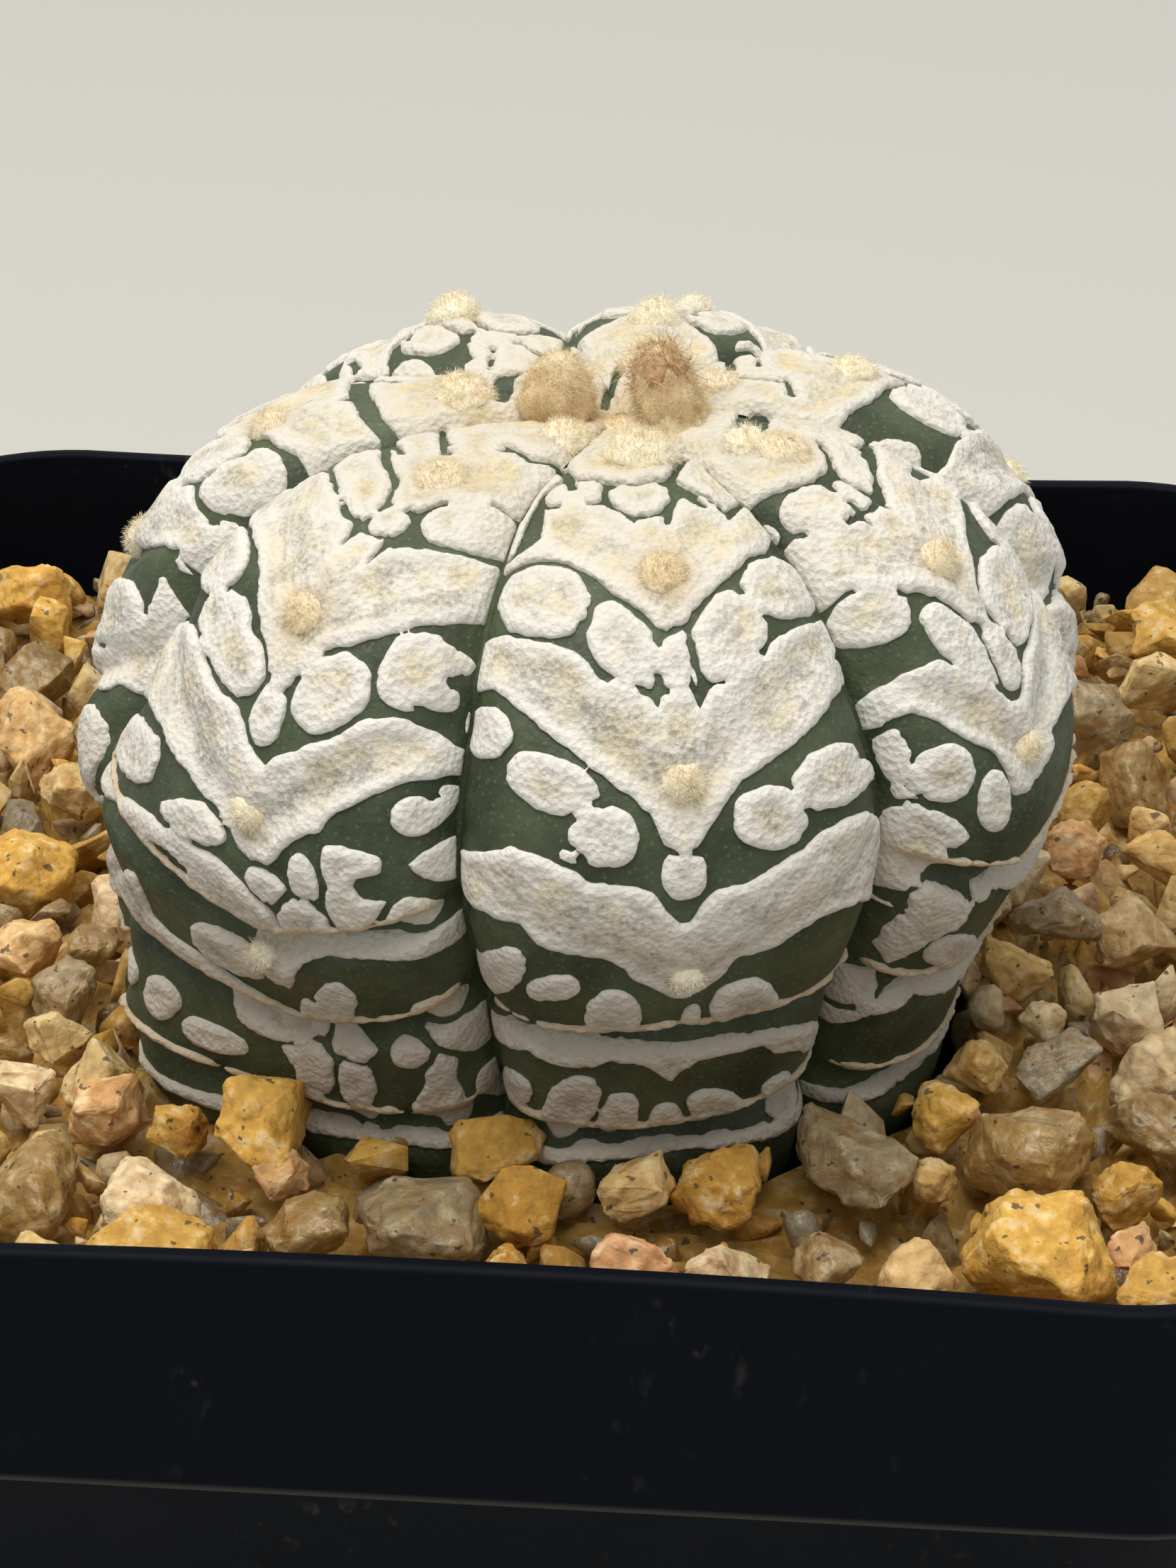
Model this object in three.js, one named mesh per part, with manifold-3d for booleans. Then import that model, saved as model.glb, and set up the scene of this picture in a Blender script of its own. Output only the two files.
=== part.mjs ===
// Super kabuto star cactus in a square nursery pot.
// Millimetres, +Z up. The origin is the middle of the pot's base, on the surface it stands on.
// The plant's front rib faces -Y, turned a little to the right.

import * as THREE from 'three';
import { mergeVertices } from 'three/addons/utils/BufferGeometryUtils.js';
import Module from 'manifold-3d';

// Pot: 3.5 inch square nursery pot
const potHeight = 84;
const rimSide = 89;
const rimCorner = 12;
const bandHeight = 12.8;
const bandTaper = 0.3;
const stepInset = 1.9;
const baseSide = 62;
const baseCorner = 8;
const baseEdge = 0.8;
const potWall = 1.1;
const rimThickening = 0.3;
const edgeRound = 0.4;
const sideBow = 1.0;
const potFloor = 1.8;
const drainRadius = 4.2;
const drainOffset = 17;
const drainSides = 20;

// Fill of the pot
const gap = 0.35;
const soilTop = 69.2;
const bedTop = 75.9;
const bedTilt = [0.3, 0.3];
const bedDish = 0.8;
const dishWidth = 7;
const collarRadius = 20;
const stonePitch = 5.7;
const stoneRise = [0.8, 3.2];
const stoneJitter = 0.85;
const netTurn = 27;
const netReach = 1.32;
const looseStones = 14;
const looseSize = [5.0, 8.0];
const cornerKnock = [0.78, 1.18];
const stoneStretch = [1.12, 0.95, 0.8];

// Plant: where it stands, and how wide and tall its body is above the rim of the pot
const plantX = 5.25;
const plantY = -6.3;
const crestProfile = [
  [0, 25.2], [4.5, 26.0], [9, 26.3], [14.2, 25.5], [19.2, 23.1], [22.6, 19.2],
  [24.8, 14.8], [25.3, 10.6], [24.1, 6.4], [22.0, 2.0], [20.0, -3.0], [18.9, -8.0], [17.5, -12.0],
];
const buriedPoints = 4;
const holeSides = 40;
const rootProfile = [[14.5, -14.4], [10.2, -17.0], [7.0, -23.0], [4.4, -31.0], [1.6, -38.0]];

// Ribs: compass turn of each crest seen from above, 0 at the front and growing to the right,
// and the way down the crest, in mm from the crown, to each of its areoles
const ribs = [
  { turn: 15.7, areoles: [3.2, 9.0, 17.5, 27.7, 37.7, 45.6, 52.5] },
  { turn: 62.7, areoles: [5.0, 11.8, 21.3, 31.2, 39.6, 46.8, 53.0] },
  { turn: 115.7, areoles: [2.8, 6.6, 14.8, 25.8, 36.0, 44.2, 51.8] },
  { turn: 166.7, areoles: [4.8, 11.0, 20.8, 31.0, 39.6, 46.6, 53.0] },
  { turn: 217.7, areoles: [3.2, 9.3, 19.5, 29.6, 38.4, 45.8, 52.4] },
  { turn: 270.7, areoles: [2.8, 6.8, 16.7, 27.3, 37.0, 44.8, 52.0] },
  { turn: 325.7, areoles: [5.0, 11.6, 21.6, 31.7, 39.3, 46.4, 52.8] },
];
// Compass turn of the groove that follows each rib
const grooveTurns = [44.4, 92.5, 141.2, 192.2, 244.2, 289, 348.8];
const crownShift = [1.4, 0.8];
const crownSpread = 12;
const grooveDepth = [[0, 0], [4, 0.6], [12, 1.2], [18, 2.4], [24, 3.5], [40, 4.2], [56, 3.2]];
const bandRise = [[0, 0.2], [6, 1.5], [18, 6.5], [28, 8.2], [36, 7.6], [42, 4.5], [56, 2]];
const creaseDepth = [[0, 0.1], [20, 0.35], [30, 0.5], [38, 1.0], [41, 1.7], [56, 1.8]];
const creaseWidth = 1.3;
const creaseTuck = 1.6;
const firstTuckedTier = 4;
const crestRound = 0.45;
const grooveSteepness = 7;
const feltHeight = 0.55;
const feltHalfBand = 0.2;
const woolHeight = 0.9;
const buriedTier = 6;

// Flecks between two bands: share of the half rib across, share of the tier down, half sizes
const flecks = [
  { across: -0.62, down: 0.36, wide: 0.17, tall: 0.15 },
  { across: -0.3, down: 0.58, wide: 0.14, tall: 0.15 },
  { across: 0, down: 0.5, wide: 0.09, tall: 0.22 },
  { across: 0.32, down: 0.56, wide: 0.15, tall: 0.15 },
  { across: 0.68, down: 0.38, wide: 0.17, tall: 0.15 },
];

// Dried buds: foot and tip measured from the plant's axis and the rim, the foot sunk in the wool
const buds = [
  { name: 'dried_bud_left', foot: [-1.8, -0.2, 24.6], tip: [-1.5, 0.2, 28.8], radius: 1.75 },
  { name: 'dried_bud_right', foot: [4.6, -1.1, 24.9], tip: [3.0, 0.3, 29.4], radius: 1.7 },
];
const budSides = 9;

const wasm = await Module();
wasm.setup();

// Straight-line lookup in a list of [x, y] points
function interpolate(points, x) {
  if (x <= points[0][0]) return points[0][1];
  for (let i = 1; i < points.length; i += 1) {
    const [x0, y0] = points[i - 1];
    const [x1, y1] = points[i];
    if (x <= x1) return y0 + ((y1 - y0) * (x - x0)) / (x1 - x0);
  }
  return points[points.length - 1][1];
}

// Repeatable random numbers from 0 to 1
function seededRandom(seed) {
  let state = seed;
  return () => {
    state = (state * 1664525 + 1013904223) % 4294967296;
    return state / 4294967296;
  };
}

function between([low, high], share) {
  return low + (high - low) * share;
}

function rotated(x, y, degrees) {
  const angle = THREE.MathUtils.degToRad(degrees);
  return [x * Math.cos(angle) - y * Math.sin(angle), x * Math.sin(angle) + y * Math.cos(angle)];
}

function smooth(low, high, x) {
  return THREE.MathUtils.smoothstep(x, low, high);
}

// Solids from closed meshes and back
function toSolid(geometry) {
  const bare = geometry.clone();
  bare.deleteAttribute('normal');
  bare.deleteAttribute('uv');
  const merged = mergeVertices(bare, 1e-4);
  return new wasm.Manifold(new wasm.Mesh({
    numProp: 3,
    vertProperties: new Float32Array(merged.attributes.position.array),
    triVerts: new Uint32Array(merged.index.array),
  }));
}

function toGeometry(solid) {
  const mesh = solid.getMesh();
  const geometry = new THREE.BufferGeometry();
  geometry.setAttribute('position', new THREE.BufferAttribute(new Float32Array(mesh.vertProperties), 3));
  geometry.setIndex(new THREE.BufferAttribute(new Uint32Array(mesh.triVerts), 1));
  return geometry;
}

// The main body of a cut solid, without the loose scraps beside it
function largestBody(solid) {
  return solid.decompose().reduce((best, body) => (body.volume() > best.volume() ? body : best));
}

// Closed skin over a stack of rings that all have the same number of points, bottom ring first
// and turning left seen from above; both ends are closed by a fan round their middle
function loft(rings) {
  const count = rings[0].length;
  const positions = rings.flat(2);
  const faces = [];
  for (let j = 0; j < rings.length - 1; j += 1) {
    for (let i = 0; i < count; i += 1) {
      const a = j * count + i;
      const b = j * count + ((i + 1) % count);
      faces.push(a, b, b + count, a, b + count, a + count);
    }
  }
  [0, rings.length - 1].forEach((j) => {
    const middle = [0, 1, 2].map((axis) => rings[j].reduce((sum, p) => sum + p[axis], 0) / count);
    const centre = positions.length / 3;
    positions.push(...middle);
    for (let i = 0; i < count; i += 1) {
      const a = j * count + i;
      const b = j * count + ((i + 1) % count);
      if (j === 0) faces.push(centre, b, a);
      else faces.push(centre, a, b);
    }
  });
  const geometry = new THREE.BufferGeometry();
  geometry.setAttribute('position', new THREE.Float32BufferAttribute(positions, 3));
  geometry.setIndex(faces);
  return geometry;
}

// Rounded square at height z, with its sides bowed in at their middle
function squareRing(half, corner, z, bow = 0) {
  const cornerSteps = 5;
  const sideSteps = 4;
  const points = [];
  for (let side = 0; side < 4; side += 1) {
    const turn = side * 90;
    for (let k = 0; k <= cornerSteps; k += 1) {
      const angle = (k / cornerSteps) * (Math.PI / 2);
      const x = half - corner + corner * Math.cos(angle);
      const y = half - corner + corner * Math.sin(angle);
      points.push([...rotated(x, y, turn), z]);
    }
    for (let k = 1; k < sideSteps; k += 1) {
      const along = (k / sideSteps) * 2 - 1;
      const x = -along * (half - corner);
      const y = half - bow * (1 - along * along);
      points.push([...rotated(x, y, turn), z]);
    }
  }
  return points;
}

// Half width and corner of the pot's outer wall at height z
const bandBottom = potHeight - bandHeight;
const bandHalf = rimSide / 2 - bandTaper;
const stepHalf = bandHalf - stepInset;

function wallHalf(z) {
  return baseSide / 2 + (stepHalf - baseSide / 2) * (z / bandBottom);
}

function wallCorner(z) {
  return baseCorner + (rimCorner - baseCorner) * (z / potHeight);
}

function outerRing(z, half, inset = 0, bow = 0) {
  return squareRing(half - inset, wallCorner(z) - inset, z, bow);
}

function makePot() {
  const rimHalf = rimSide / 2;
  const shoulder = bandBottom + potWall;
  const shell = loft([
    outerRing(0, wallHalf(0), baseEdge),
    outerRing(baseEdge, wallHalf(baseEdge)),
    outerRing(bandBottom, stepHalf),
    outerRing(bandBottom, bandHalf, edgeRound),
    outerRing(bandBottom + edgeRound, bandHalf),
    outerRing(potHeight - edgeRound, rimHalf, 0, sideBow),
    outerRing(potHeight, rimHalf, edgeRound, sideBow),
    outerRing(potHeight, rimHalf, potWall, sideBow),
    outerRing(potHeight - edgeRound, rimHalf, potWall + rimThickening, sideBow),
    outerRing(shoulder + edgeRound, bandHalf, potWall),
    outerRing(shoulder, stepHalf, potWall),
    outerRing(potFloor, wallHalf(potFloor), potWall),
  ]);
  let pot = toSolid(shell);
  [45, 135, 225, 315].forEach((turn) => {
    const drain = new THREE.CylinderGeometry(drainRadius, drainRadius, potFloor * 4, drainSides);
    drain.rotateX(Math.PI / 2);
    const [x, y] = rotated(drainOffset * Math.SQRT2, 0, turn);
    drain.translate(x, y, 0);
    pot = pot.subtract(toSolid(drain));
  });
  return toGeometry(pot);
}

// Space inside the pot between two heights, a small gap clear of its wall and of its inner ledge
function insideOfPot(low, high) {
  const ledge = bandBottom + potWall + edgeRound + gap;
  const inset = potWall + rimThickening + gap;
  const rings = [low, Math.min(high, ledge)].map((z) => (
    outerRing(z, Math.min(wallHalf(z), stepHalf), potWall + gap)
  ));
  if (high > ledge) {
    rings.push(outerRing(ledge, bandHalf, inset));
    rings.push(outerRing(high, bandHalf, inset, sideBow));
  }
  return toSolid(loft(rings));
}

// Crest line of the plant as a smooth curve, read by the way down it from the crown
const crest = new THREE.SplineCurve(crestProfile.map(([out, up]) => new THREE.Vector2(out, up)));
crest.arcLengthDivisions = 400;
const crestLength = crest.getLength();

// Point at a compass turn, distance and height, from the plant's axis and the pot's rim
function roundPlant(turn, radius, height) {
  const [x, y] = rotated(0, -radius, turn);
  return [plantX + x, plantY + y, potHeight + height];
}

// The body is fuller low on its left: how far it stands out there, by height over the pot's rim,
// and how much shallower the groove between the two left ribs gets
const swellTurn = 291;
const swellSpread = 24;
const swellOut = [[-14.4, 0], [-12, 3.5], [-8, 6.3], [-3, 6.4], [-0.5, 5], [2, 4], [5, 2.7], [8, 2.2], [14, 0]];
const filledGroove = 5;
const grooveFill = 0.6;

function swell(turn, height) {
  const away = ((((turn - swellTurn + 180) % 360) + 360) % 360) - 180;
  return interpolate(swellOut, height) * Math.exp(-((away / swellSpread) ** 2));
}

// Angle from a crest to the groove on one of its two sides
function halfAngle(k, side) {
  const groove = grooveTurns[side < 0 ? (k + ribs.length - 1) % ribs.length : k];
  return ((groove - ribs[k].turn) * side + 360) % 360;
}

// Point of the plant's skin: way down the crest in mm, -1 to 1 across the rib, raised by lift
function skinPoint(k, across, down, lift) {
  const t = Math.min(down / crestLength, 1);
  const at = crest.getPointAt(t);
  const along = crest.getTangentAt(t);
  const a = Math.abs(across);
  const section = crestRound * a ** 2 + (1 - crestRound) * a ** grooveSteepness;
  let inward = interpolate(grooveDepth, down) * section;
  if ((k === filledGroove && across > 0) || (k === filledGroove + 1 && across < 0)) {
    inward *= 1 - grooveFill * smooth(28, 38, down);
  }
  ribs[k].areoles.forEach((areole, tier) => {
    const rise = interpolate(bandRise, areole);
    const tuck = tier >= firstTuckedTier ? creaseTuck : 0;
    const centre = areole - tuck - rise * a;
    const depth = interpolate(creaseDepth, areole) * (1 - 0.3 * a * a);
    inward += depth * Math.exp(-(((down - centre) / creaseWidth) ** 2));
  });
  inward -= lift;
  const turn = ribs[k].turn + across * halfAngle(k, Math.sign(across) || 1);
  const height = at.y - along.x * inward;
  const radius = at.x + along.y * inward + swell(turn, height);
  const shift = 1 - smooth(0, crownSpread, down);
  const [x, y, z] = roundPlant(turn, radius, height);
  return [x + crownShift[0] * shift, y + crownShift[1] * shift, z];
}

// Rows of the skin follow the bands. A row is a tier number plus a share of the way to the next.
const tierRows = [0, 0.16, 0.22, 0.38, 0.52, 0.66, 0.78, 0.84];
const acrossSteps = [0, 0.14, 0.28, 0.43, 0.58, 0.74, 0.9];

function rowDown(k, row) {
  const { areoles } = ribs[k];
  const tier = Math.min(Math.floor(row), areoles.length - 2);
  return areoles[tier] + (areoles[tier + 1] - areoles[tier]) * (row - tier);
}

// Way down the skin of a row at a place across the rib; neighbours meet in the groove
function placeDown(k, across, row) {
  const arm = (rib) => {
    const down = rowDown(rib, row);
    return down - interpolate(bandRise, down);
  };
  const a = Math.abs(across);
  const down = rowDown(k, row);
  const own = down - interpolate(bandRise, down) * a;
  const side = across < 0 ? -1 : 1;
  const meeting = (arm(k) + arm((k + side + ribs.length) % ribs.length)) / 2;
  return own + (meeting - arm(k)) * smooth(0.7, 1, a);
}

function feltLift(across, row) {
  const share = row - Math.round(row);
  const a = Math.abs(across);
  let lift = Math.abs(share) < feltHalfBand ? feltHeight : 0;
  const down = row - Math.floor(row);
  flecks.forEach((fleck) => {
    const x = (across - fleck.across) / fleck.wide;
    const y = (down - fleck.down) / fleck.tall;
    if (x * x + y * y < 1) lift = feltHeight;
  });
  if (a < 0.1 && share === 0 && row < buriedTier) lift += woolHeight;
  return lift * (1 - 0.7 * smooth(0.85, 1, a));
}

// The plant's whole skin, from root tip to crown, raised all over by extra
function cactusSkin(extra = 0) {
  const across = [...acrossSteps.slice(1).reverse().map((u) => -u), ...acrossSteps, 1];
  const columns = ribs.flatMap((rib, k) => across.map((u) => ({ k, u })));
  const rows = [];
  for (let tier = 0; tier < buriedTier; tier += 1) {
    const picked = tier === 0 ? [0.3, 0.66] : tierRows;
    picked.forEach((share) => rows.push(tier + share));
  }
  rows.push(buriedTier);
  const skinRing = (row) => columns.map(({ k, u }) => (
    skinPoint(k, u, placeDown(k, u, row), feltLift(u, row) + extra)
  ));
  const bodyRings = rows.map(skinRing);
  const baseRing = (down) => columns.map(({ k, u }) => skinPoint(k, u, down, 0));
  bodyRings.push(baseRing(crestLength - 0.5));
  const rootRings = rootProfile.map(([radius, height]) => columns.map(({ k, u }) => {
    const turn = ribs[k].turn + u * halfAngle(k, Math.sign(u) || 1);
    return roundPlant(turn, radius, height);
  }));
  const rings = [...rootRings.reverse(), ...bodyRings.reverse()];
  return loft(rings);
}

// The plant's buried part with a small gap round it, cut from what it stands in
function plantHole() {
  const ringAt = (radius, height) => {
    const ring = [];
    for (let i = 0; i < holeSides; i += 1) {
      const turn = (i / holeSides) * 360;
      ring.push(roundPlant(turn, radius + swell(turn, height), height));
    }
    return ring;
  };
  const [tipRadius, tipHeight] = rootProfile[rootProfile.length - 1];
  const rings = [ringAt(tipRadius + gap, tipHeight - gap)];
  [...rootProfile].reverse().forEach(([radius, height]) => rings.push(ringAt(radius + 1.3 * gap, height)));
  const buried = crestProfile.slice(-buriedPoints).reverse();
  buried.forEach(([radius, height]) => rings.push(ringAt(radius + feltHeight + gap, height)));
  return toSolid(loft(rings));
}

function makePottingMix() {
  const fill = insideOfPot(potFloor + gap, soilTop);
  return toGeometry(fill.subtract(plantHole()));
}

// One broken stone: a 20-sided lump with its corners knocked about, longer one way
function stone(random, size) {
  const lump = new THREE.IcosahedronGeometry(size / 2, 0);
  lump.deleteAttribute('normal');
  lump.deleteAttribute('uv');
  const shape = mergeVertices(lump, 1e-3);
  const { position } = shape.attributes;
  for (let i = 0; i < position.count; i += 1) {
    const knock = between(cornerKnock, random());
    position.setXYZ(i, position.getX(i) * knock, position.getY(i) * knock, position.getZ(i) * knock);
  }
  shape.scale(...stoneStretch);
  shape.rotateX(random() * 0.8 - 0.4);
  shape.rotateZ(random() * Math.PI * 2);
  return shape;
}

// Height of the stones' bed at a place: tilted up to the back, dished round the plant
function bedHeight(x, y) {
  const half = rimSide / 2;
  const fromPlant = Math.hypot(x - plantX, y - plantY) - collarRadius;
  const dish = bedDish * Math.exp(-((fromPlant / dishWidth) ** 2));
  return bedTop + bedTilt[0] * (x / half) + bedTilt[1] * (y / half) - dish;
}

// Bed of broken stones: a net of uneven four-cornered cells, each raised to its own faceted top
function stoneBed(random) {
  const cells = Math.ceil((rimSide * netReach) / stonePitch);
  const start = -(cells * stonePitch) / 2;
  const positions = [];
  const faces = [];
  const addPoint = (x, y, z) => positions.push(x, y, z) / 3 - 1;
  const corners = [];
  for (let j = 0; j <= cells; j += 1) {
    for (let i = 0; i <= cells; i += 1) {
      const netX = start + (i + (random() - 0.5) * stoneJitter) * stonePitch;
      const netY = start + (j + (random() - 0.5) * stoneJitter) * stonePitch;
      const [x, y] = rotated(netX, netY, netTurn);
      corners.push({ x, y, index: addPoint(x, y, bedHeight(x, y) - 0.4 * random()) });
    }
  }
  const corner = (i, j) => corners[j * (cells + 1) + i];
  for (let j = 0; j < cells; j += 1) {
    for (let i = 0; i < cells; i += 1) {
      const around = [corner(i, j), corner(i + 1, j), corner(i + 1, j + 1), corner(i, j + 1)];
      const x = around.reduce((sum, p) => sum + p.x, 0) / 4;
      const y = around.reduce((sum, p) => sum + p.y, 0) / 4;
      const rise = between(stoneRise, random() ** 1.3);
      const top = around.map((p) => {
        const reach = 0.5 + 0.35 * random();
        const z = bedHeight(x, y) + rise * (0.7 + 0.4 * random());
        return addPoint(x + (p.x - x) * reach, y + (p.y - y) * reach, z);
      });
      const peak = addPoint(x, y, bedHeight(x, y) + rise * 1.15);
      for (let k = 0; k < 4; k += 1) {
        const next = (k + 1) % 4;
        faces.push(peak, top[k], top[next]);
        faces.push(top[k], around[k].index, around[next].index);
        faces.push(top[k], around[next].index, top[next]);
      }
    }
  }
  // Walls round the net and a flat underside, both cut away later by the pot's inside
  const edge = [];
  for (let k = 0; k < cells; k += 1) edge.push(corner(k, 0));
  for (let k = 0; k < cells; k += 1) edge.push(corner(cells, k));
  for (let k = cells; k > 0; k -= 1) edge.push(corner(k, cells));
  for (let k = cells; k > 0; k -= 1) edge.push(corner(0, k));
  const under = edge.map((p) => addPoint(p.x, p.y, soilTop - 2));
  const middle = addPoint(0, 0, soilTop - 2);
  edge.forEach((p, k) => {
    const next = (k + 1) % edge.length;
    faces.push(p.index, under[k], under[next]);
    faces.push(p.index, under[next], edge[next].index);
    faces.push(middle, under[next], under[k]);
  });
  const geometry = new THREE.BufferGeometry();
  geometry.setAttribute('position', new THREE.Float32BufferAttribute(positions, 3));
  geometry.setIndex(faces);
  return toSolid(geometry);
}

// The stone bed with larger loose stones pressed into it, trimmed to the pot and the plant
function makeGravel() {
  const random = seededRandom(7);
  let gravel = stoneBed(random);
  const reach = rimSide / 2 - looseSize[1] / 2 - potWall;
  for (let placed = 0; placed < looseStones;) {
    const x = (random() * 2 - 1) * reach;
    const y = (random() * 2 - 1) * reach;
    const size = between(looseSize, random());
    const shape = stone(random, size);
    if (Math.hypot(x - plantX, y - plantY) < collarRadius + size / 2) continue;
    shape.translate(x, y, bedHeight(x, y) + size * 0.2);
    gravel = gravel.add(toSolid(shape));
    placed += 1;
  }
  gravel = gravel.intersect(insideOfPot(soilTop + gap, potHeight));
  return toGeometry(largestBody(gravel.subtract(plantHole())));
}

// Dried bud: a stubby bristly barrel of papery scales, its foot shaped to the crown wool
function makeBud({ name, foot, tip, radius }, crown) {
  const random = seededRandom(name.length);
  const profile = [[0, 0.62], [0.2, 0.9], [0.42, 1.0], [0.64, 1.0], [0.82, 0.86], [0.95, 0.55]];
  const rings = profile.map(([share, wide], j) => {
    const ring = [];
    for (let i = 0; i < budSides * 2; i += 1) {
      const a = (i / (budSides * 2)) * 2 * Math.PI;
      const scale = (i + j) % 2 ? 1.1 : 0.92;
      const r = radius * wide * scale * (0.95 + 0.1 * random());
      const ragged = j > 3 && (i + j) % 2 ? 0.3 : 0;
      const centre = foot.map((value, axis) => value + (tip[axis] - value) * share);
      ring.push([
        plantX + centre[0] + r * Math.cos(a),
        plantY + centre[1] + r * Math.sin(a),
        potHeight + centre[2] + ragged,
      ]);
    }
    return ring;
  });
  return toGeometry(largestBody(toSolid(loft(rings)).subtract(crown)));
}

// Assembly
const potting = new THREE.Group();

function addPiece(name, geometry, color, roughness) {
  const material = new THREE.MeshStandardMaterial({ color, roughness, metalness: 0 });
  const piece = new THREE.Mesh(geometry, material);
  piece.name = name;
  potting.add(piece);
}

addPiece('pot', makePot(), 0x15181d, 0.55);
addPiece('potting_mix', makePottingMix(), 0x3a2c20, 1);
addPiece('gravel_top_dressing', makeGravel(), 0xcaa468, 0.85);
addPiece('cactus', cactusSkin(), 0x8f968a, 0.9);
const crown = toSolid(cactusSkin(gap));
buds.forEach((bud) => addPiece(bud.name, makeBud(bud, crown), 0xb08a5c, 1));

export default potting;
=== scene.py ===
# Super kabuto star cactus in a square nursery pot.
# Tables are in millimetres from the middle of the pot's base, +Z up. Meshes are in metres.
import math

import bmesh
import bpy
import numpy as np
from mathutils import Matrix, Vector, noise


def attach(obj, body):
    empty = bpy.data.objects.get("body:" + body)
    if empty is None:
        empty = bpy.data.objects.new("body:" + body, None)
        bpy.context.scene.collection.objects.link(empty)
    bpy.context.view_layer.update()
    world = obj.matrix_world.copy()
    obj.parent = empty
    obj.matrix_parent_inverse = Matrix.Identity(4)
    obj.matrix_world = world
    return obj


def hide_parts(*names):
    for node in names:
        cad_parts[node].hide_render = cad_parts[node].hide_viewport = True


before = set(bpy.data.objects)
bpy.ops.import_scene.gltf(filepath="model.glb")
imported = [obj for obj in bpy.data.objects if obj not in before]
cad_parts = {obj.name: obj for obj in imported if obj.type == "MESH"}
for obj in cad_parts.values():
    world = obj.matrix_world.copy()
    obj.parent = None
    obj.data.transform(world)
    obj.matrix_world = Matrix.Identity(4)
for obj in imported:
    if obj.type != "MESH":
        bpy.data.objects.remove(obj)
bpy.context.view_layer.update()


# Pot: a thin 3.5 inch square nursery pot, injection moulded in black polypropylene. A straight
# band round the rim stands proud of the tapered body on a small step, and four round holes in
# the floor drain it. The stones and the root ball stand in it.
MM = 0.001
pot_height = 84.0
rim_half = 44.5
rim_corner = 12.0
base_half = 31.0
base_corner = 8.0
band_bottom = 71.2
band_half = 44.2
step_half = 42.3
wall = 1.1
floor_top = 1.8
side_bow = 1.0
drain_radius = 4.2
drain_offset = 17.0


def linear(hex_colour):
    """An sRGB hex colour as the linear values that a shader takes."""
    channels = [int(hex_colour[i:i + 2], 16) / 255 for i in (1, 3, 5)]
    lit = [c / 12.92 if c <= 0.04045 else ((c + 0.055) / 1.055) ** 2.4 for c in channels]
    return (*lit, 1.0)


def add_node(tree, kind, inputs=None, **settings):
    """A node with its settings, and its inputs linked to sockets or set to values."""
    node = tree.nodes.new(kind)
    for name, value in settings.items():
        setattr(node, name, value)
    for key, value in (inputs or {}).items():
        if isinstance(value, bpy.types.NodeSocket):
            tree.links.new(value, node.inputs[key])
        else:
            node.inputs[key].default_value = value
    return node


def start_material(name):
    """An empty node material, its tree, and the piece's own coordinates in metres."""
    material = bpy.data.materials.new(name)
    material.use_nodes = True
    tree = material.node_tree
    tree.nodes.clear()
    place = add_node(tree, "ShaderNodeTexCoord").outputs["Object"]
    return material, tree, place


def finish_material(tree, inputs):
    """Closes a material with the plastic, stone or plant surface that its inputs describe."""
    surface = add_node(tree, "ShaderNodeBsdfPrincipled", inputs)
    add_node(tree, "ShaderNodeOutputMaterial", {"Surface": surface.outputs[0]})


def mesh_piece(name, points, faces, material, smooth=True):
    """A mesh object made from points in millimetres."""
    mesh = bpy.data.meshes.new(name)
    mesh.from_pydata((np.asarray(points, float) * MM).tolist(), [], faces)
    mesh.polygons.foreach_set("use_smooth", [smooth] * len(mesh.polygons))
    mesh.materials.append(material)
    mesh.update()
    piece = bpy.data.objects.new(name, mesh)
    bpy.context.scene.collection.objects.link(piece)
    return piece


def set_point_values(mesh, **values):
    """Values at a mesh's points, one attribute for each name, for its material to read."""
    for name, numbers in values.items():
        layer = mesh.attributes.new(name, "FLOAT", "POINT")
        layer.data.foreach_set("value", np.asarray(numbers, np.float32))


def stacked_faces(rows, columns):
    """Faces between closed rings of equal length, each ring turning left seen from its top."""
    faces = []
    for j in range(rows - 1):
        for i in range(columns):
            n = (i + 1) % columns
            faces.append((j * columns + i, j * columns + n, (j + 1) * columns + n, (j + 1) * columns + i))
    return faces


def square_ring(half, corner, z, bow=0.0, corner_steps=14, side_steps=16):
    """A square with round corners at height z, its sides bowed in at their middle."""
    points = []
    for side in range(4):
        turn = math.radians(90 * side)
        row = []
        for k in range(corner_steps + 1):
            angle = k / corner_steps * math.pi / 2
            row.append((half - corner + corner * math.cos(angle), half - corner + corner * math.sin(angle)))
        for k in range(1, side_steps):
            along = 2 * k / side_steps - 1
            row.append((-along * (half - corner), half - bow * (1 - along * along)))
        cos, sin = math.cos(turn), math.sin(turn)
        points += [(x * cos - y * sin, x * sin + y * cos, z) for x, y in row]
    return points


def wall_half(z):
    return base_half + (step_half - base_half) * z / band_bottom


def fillet(half, z, radius, start, end, steps=4):
    """Points round an edge: half width and height, from one angle to another in degrees."""
    angles = np.radians(np.linspace(start, end, steps + 1))
    return [(half + radius * math.cos(a), z + radius * math.sin(a)) for a in angles]


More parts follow.
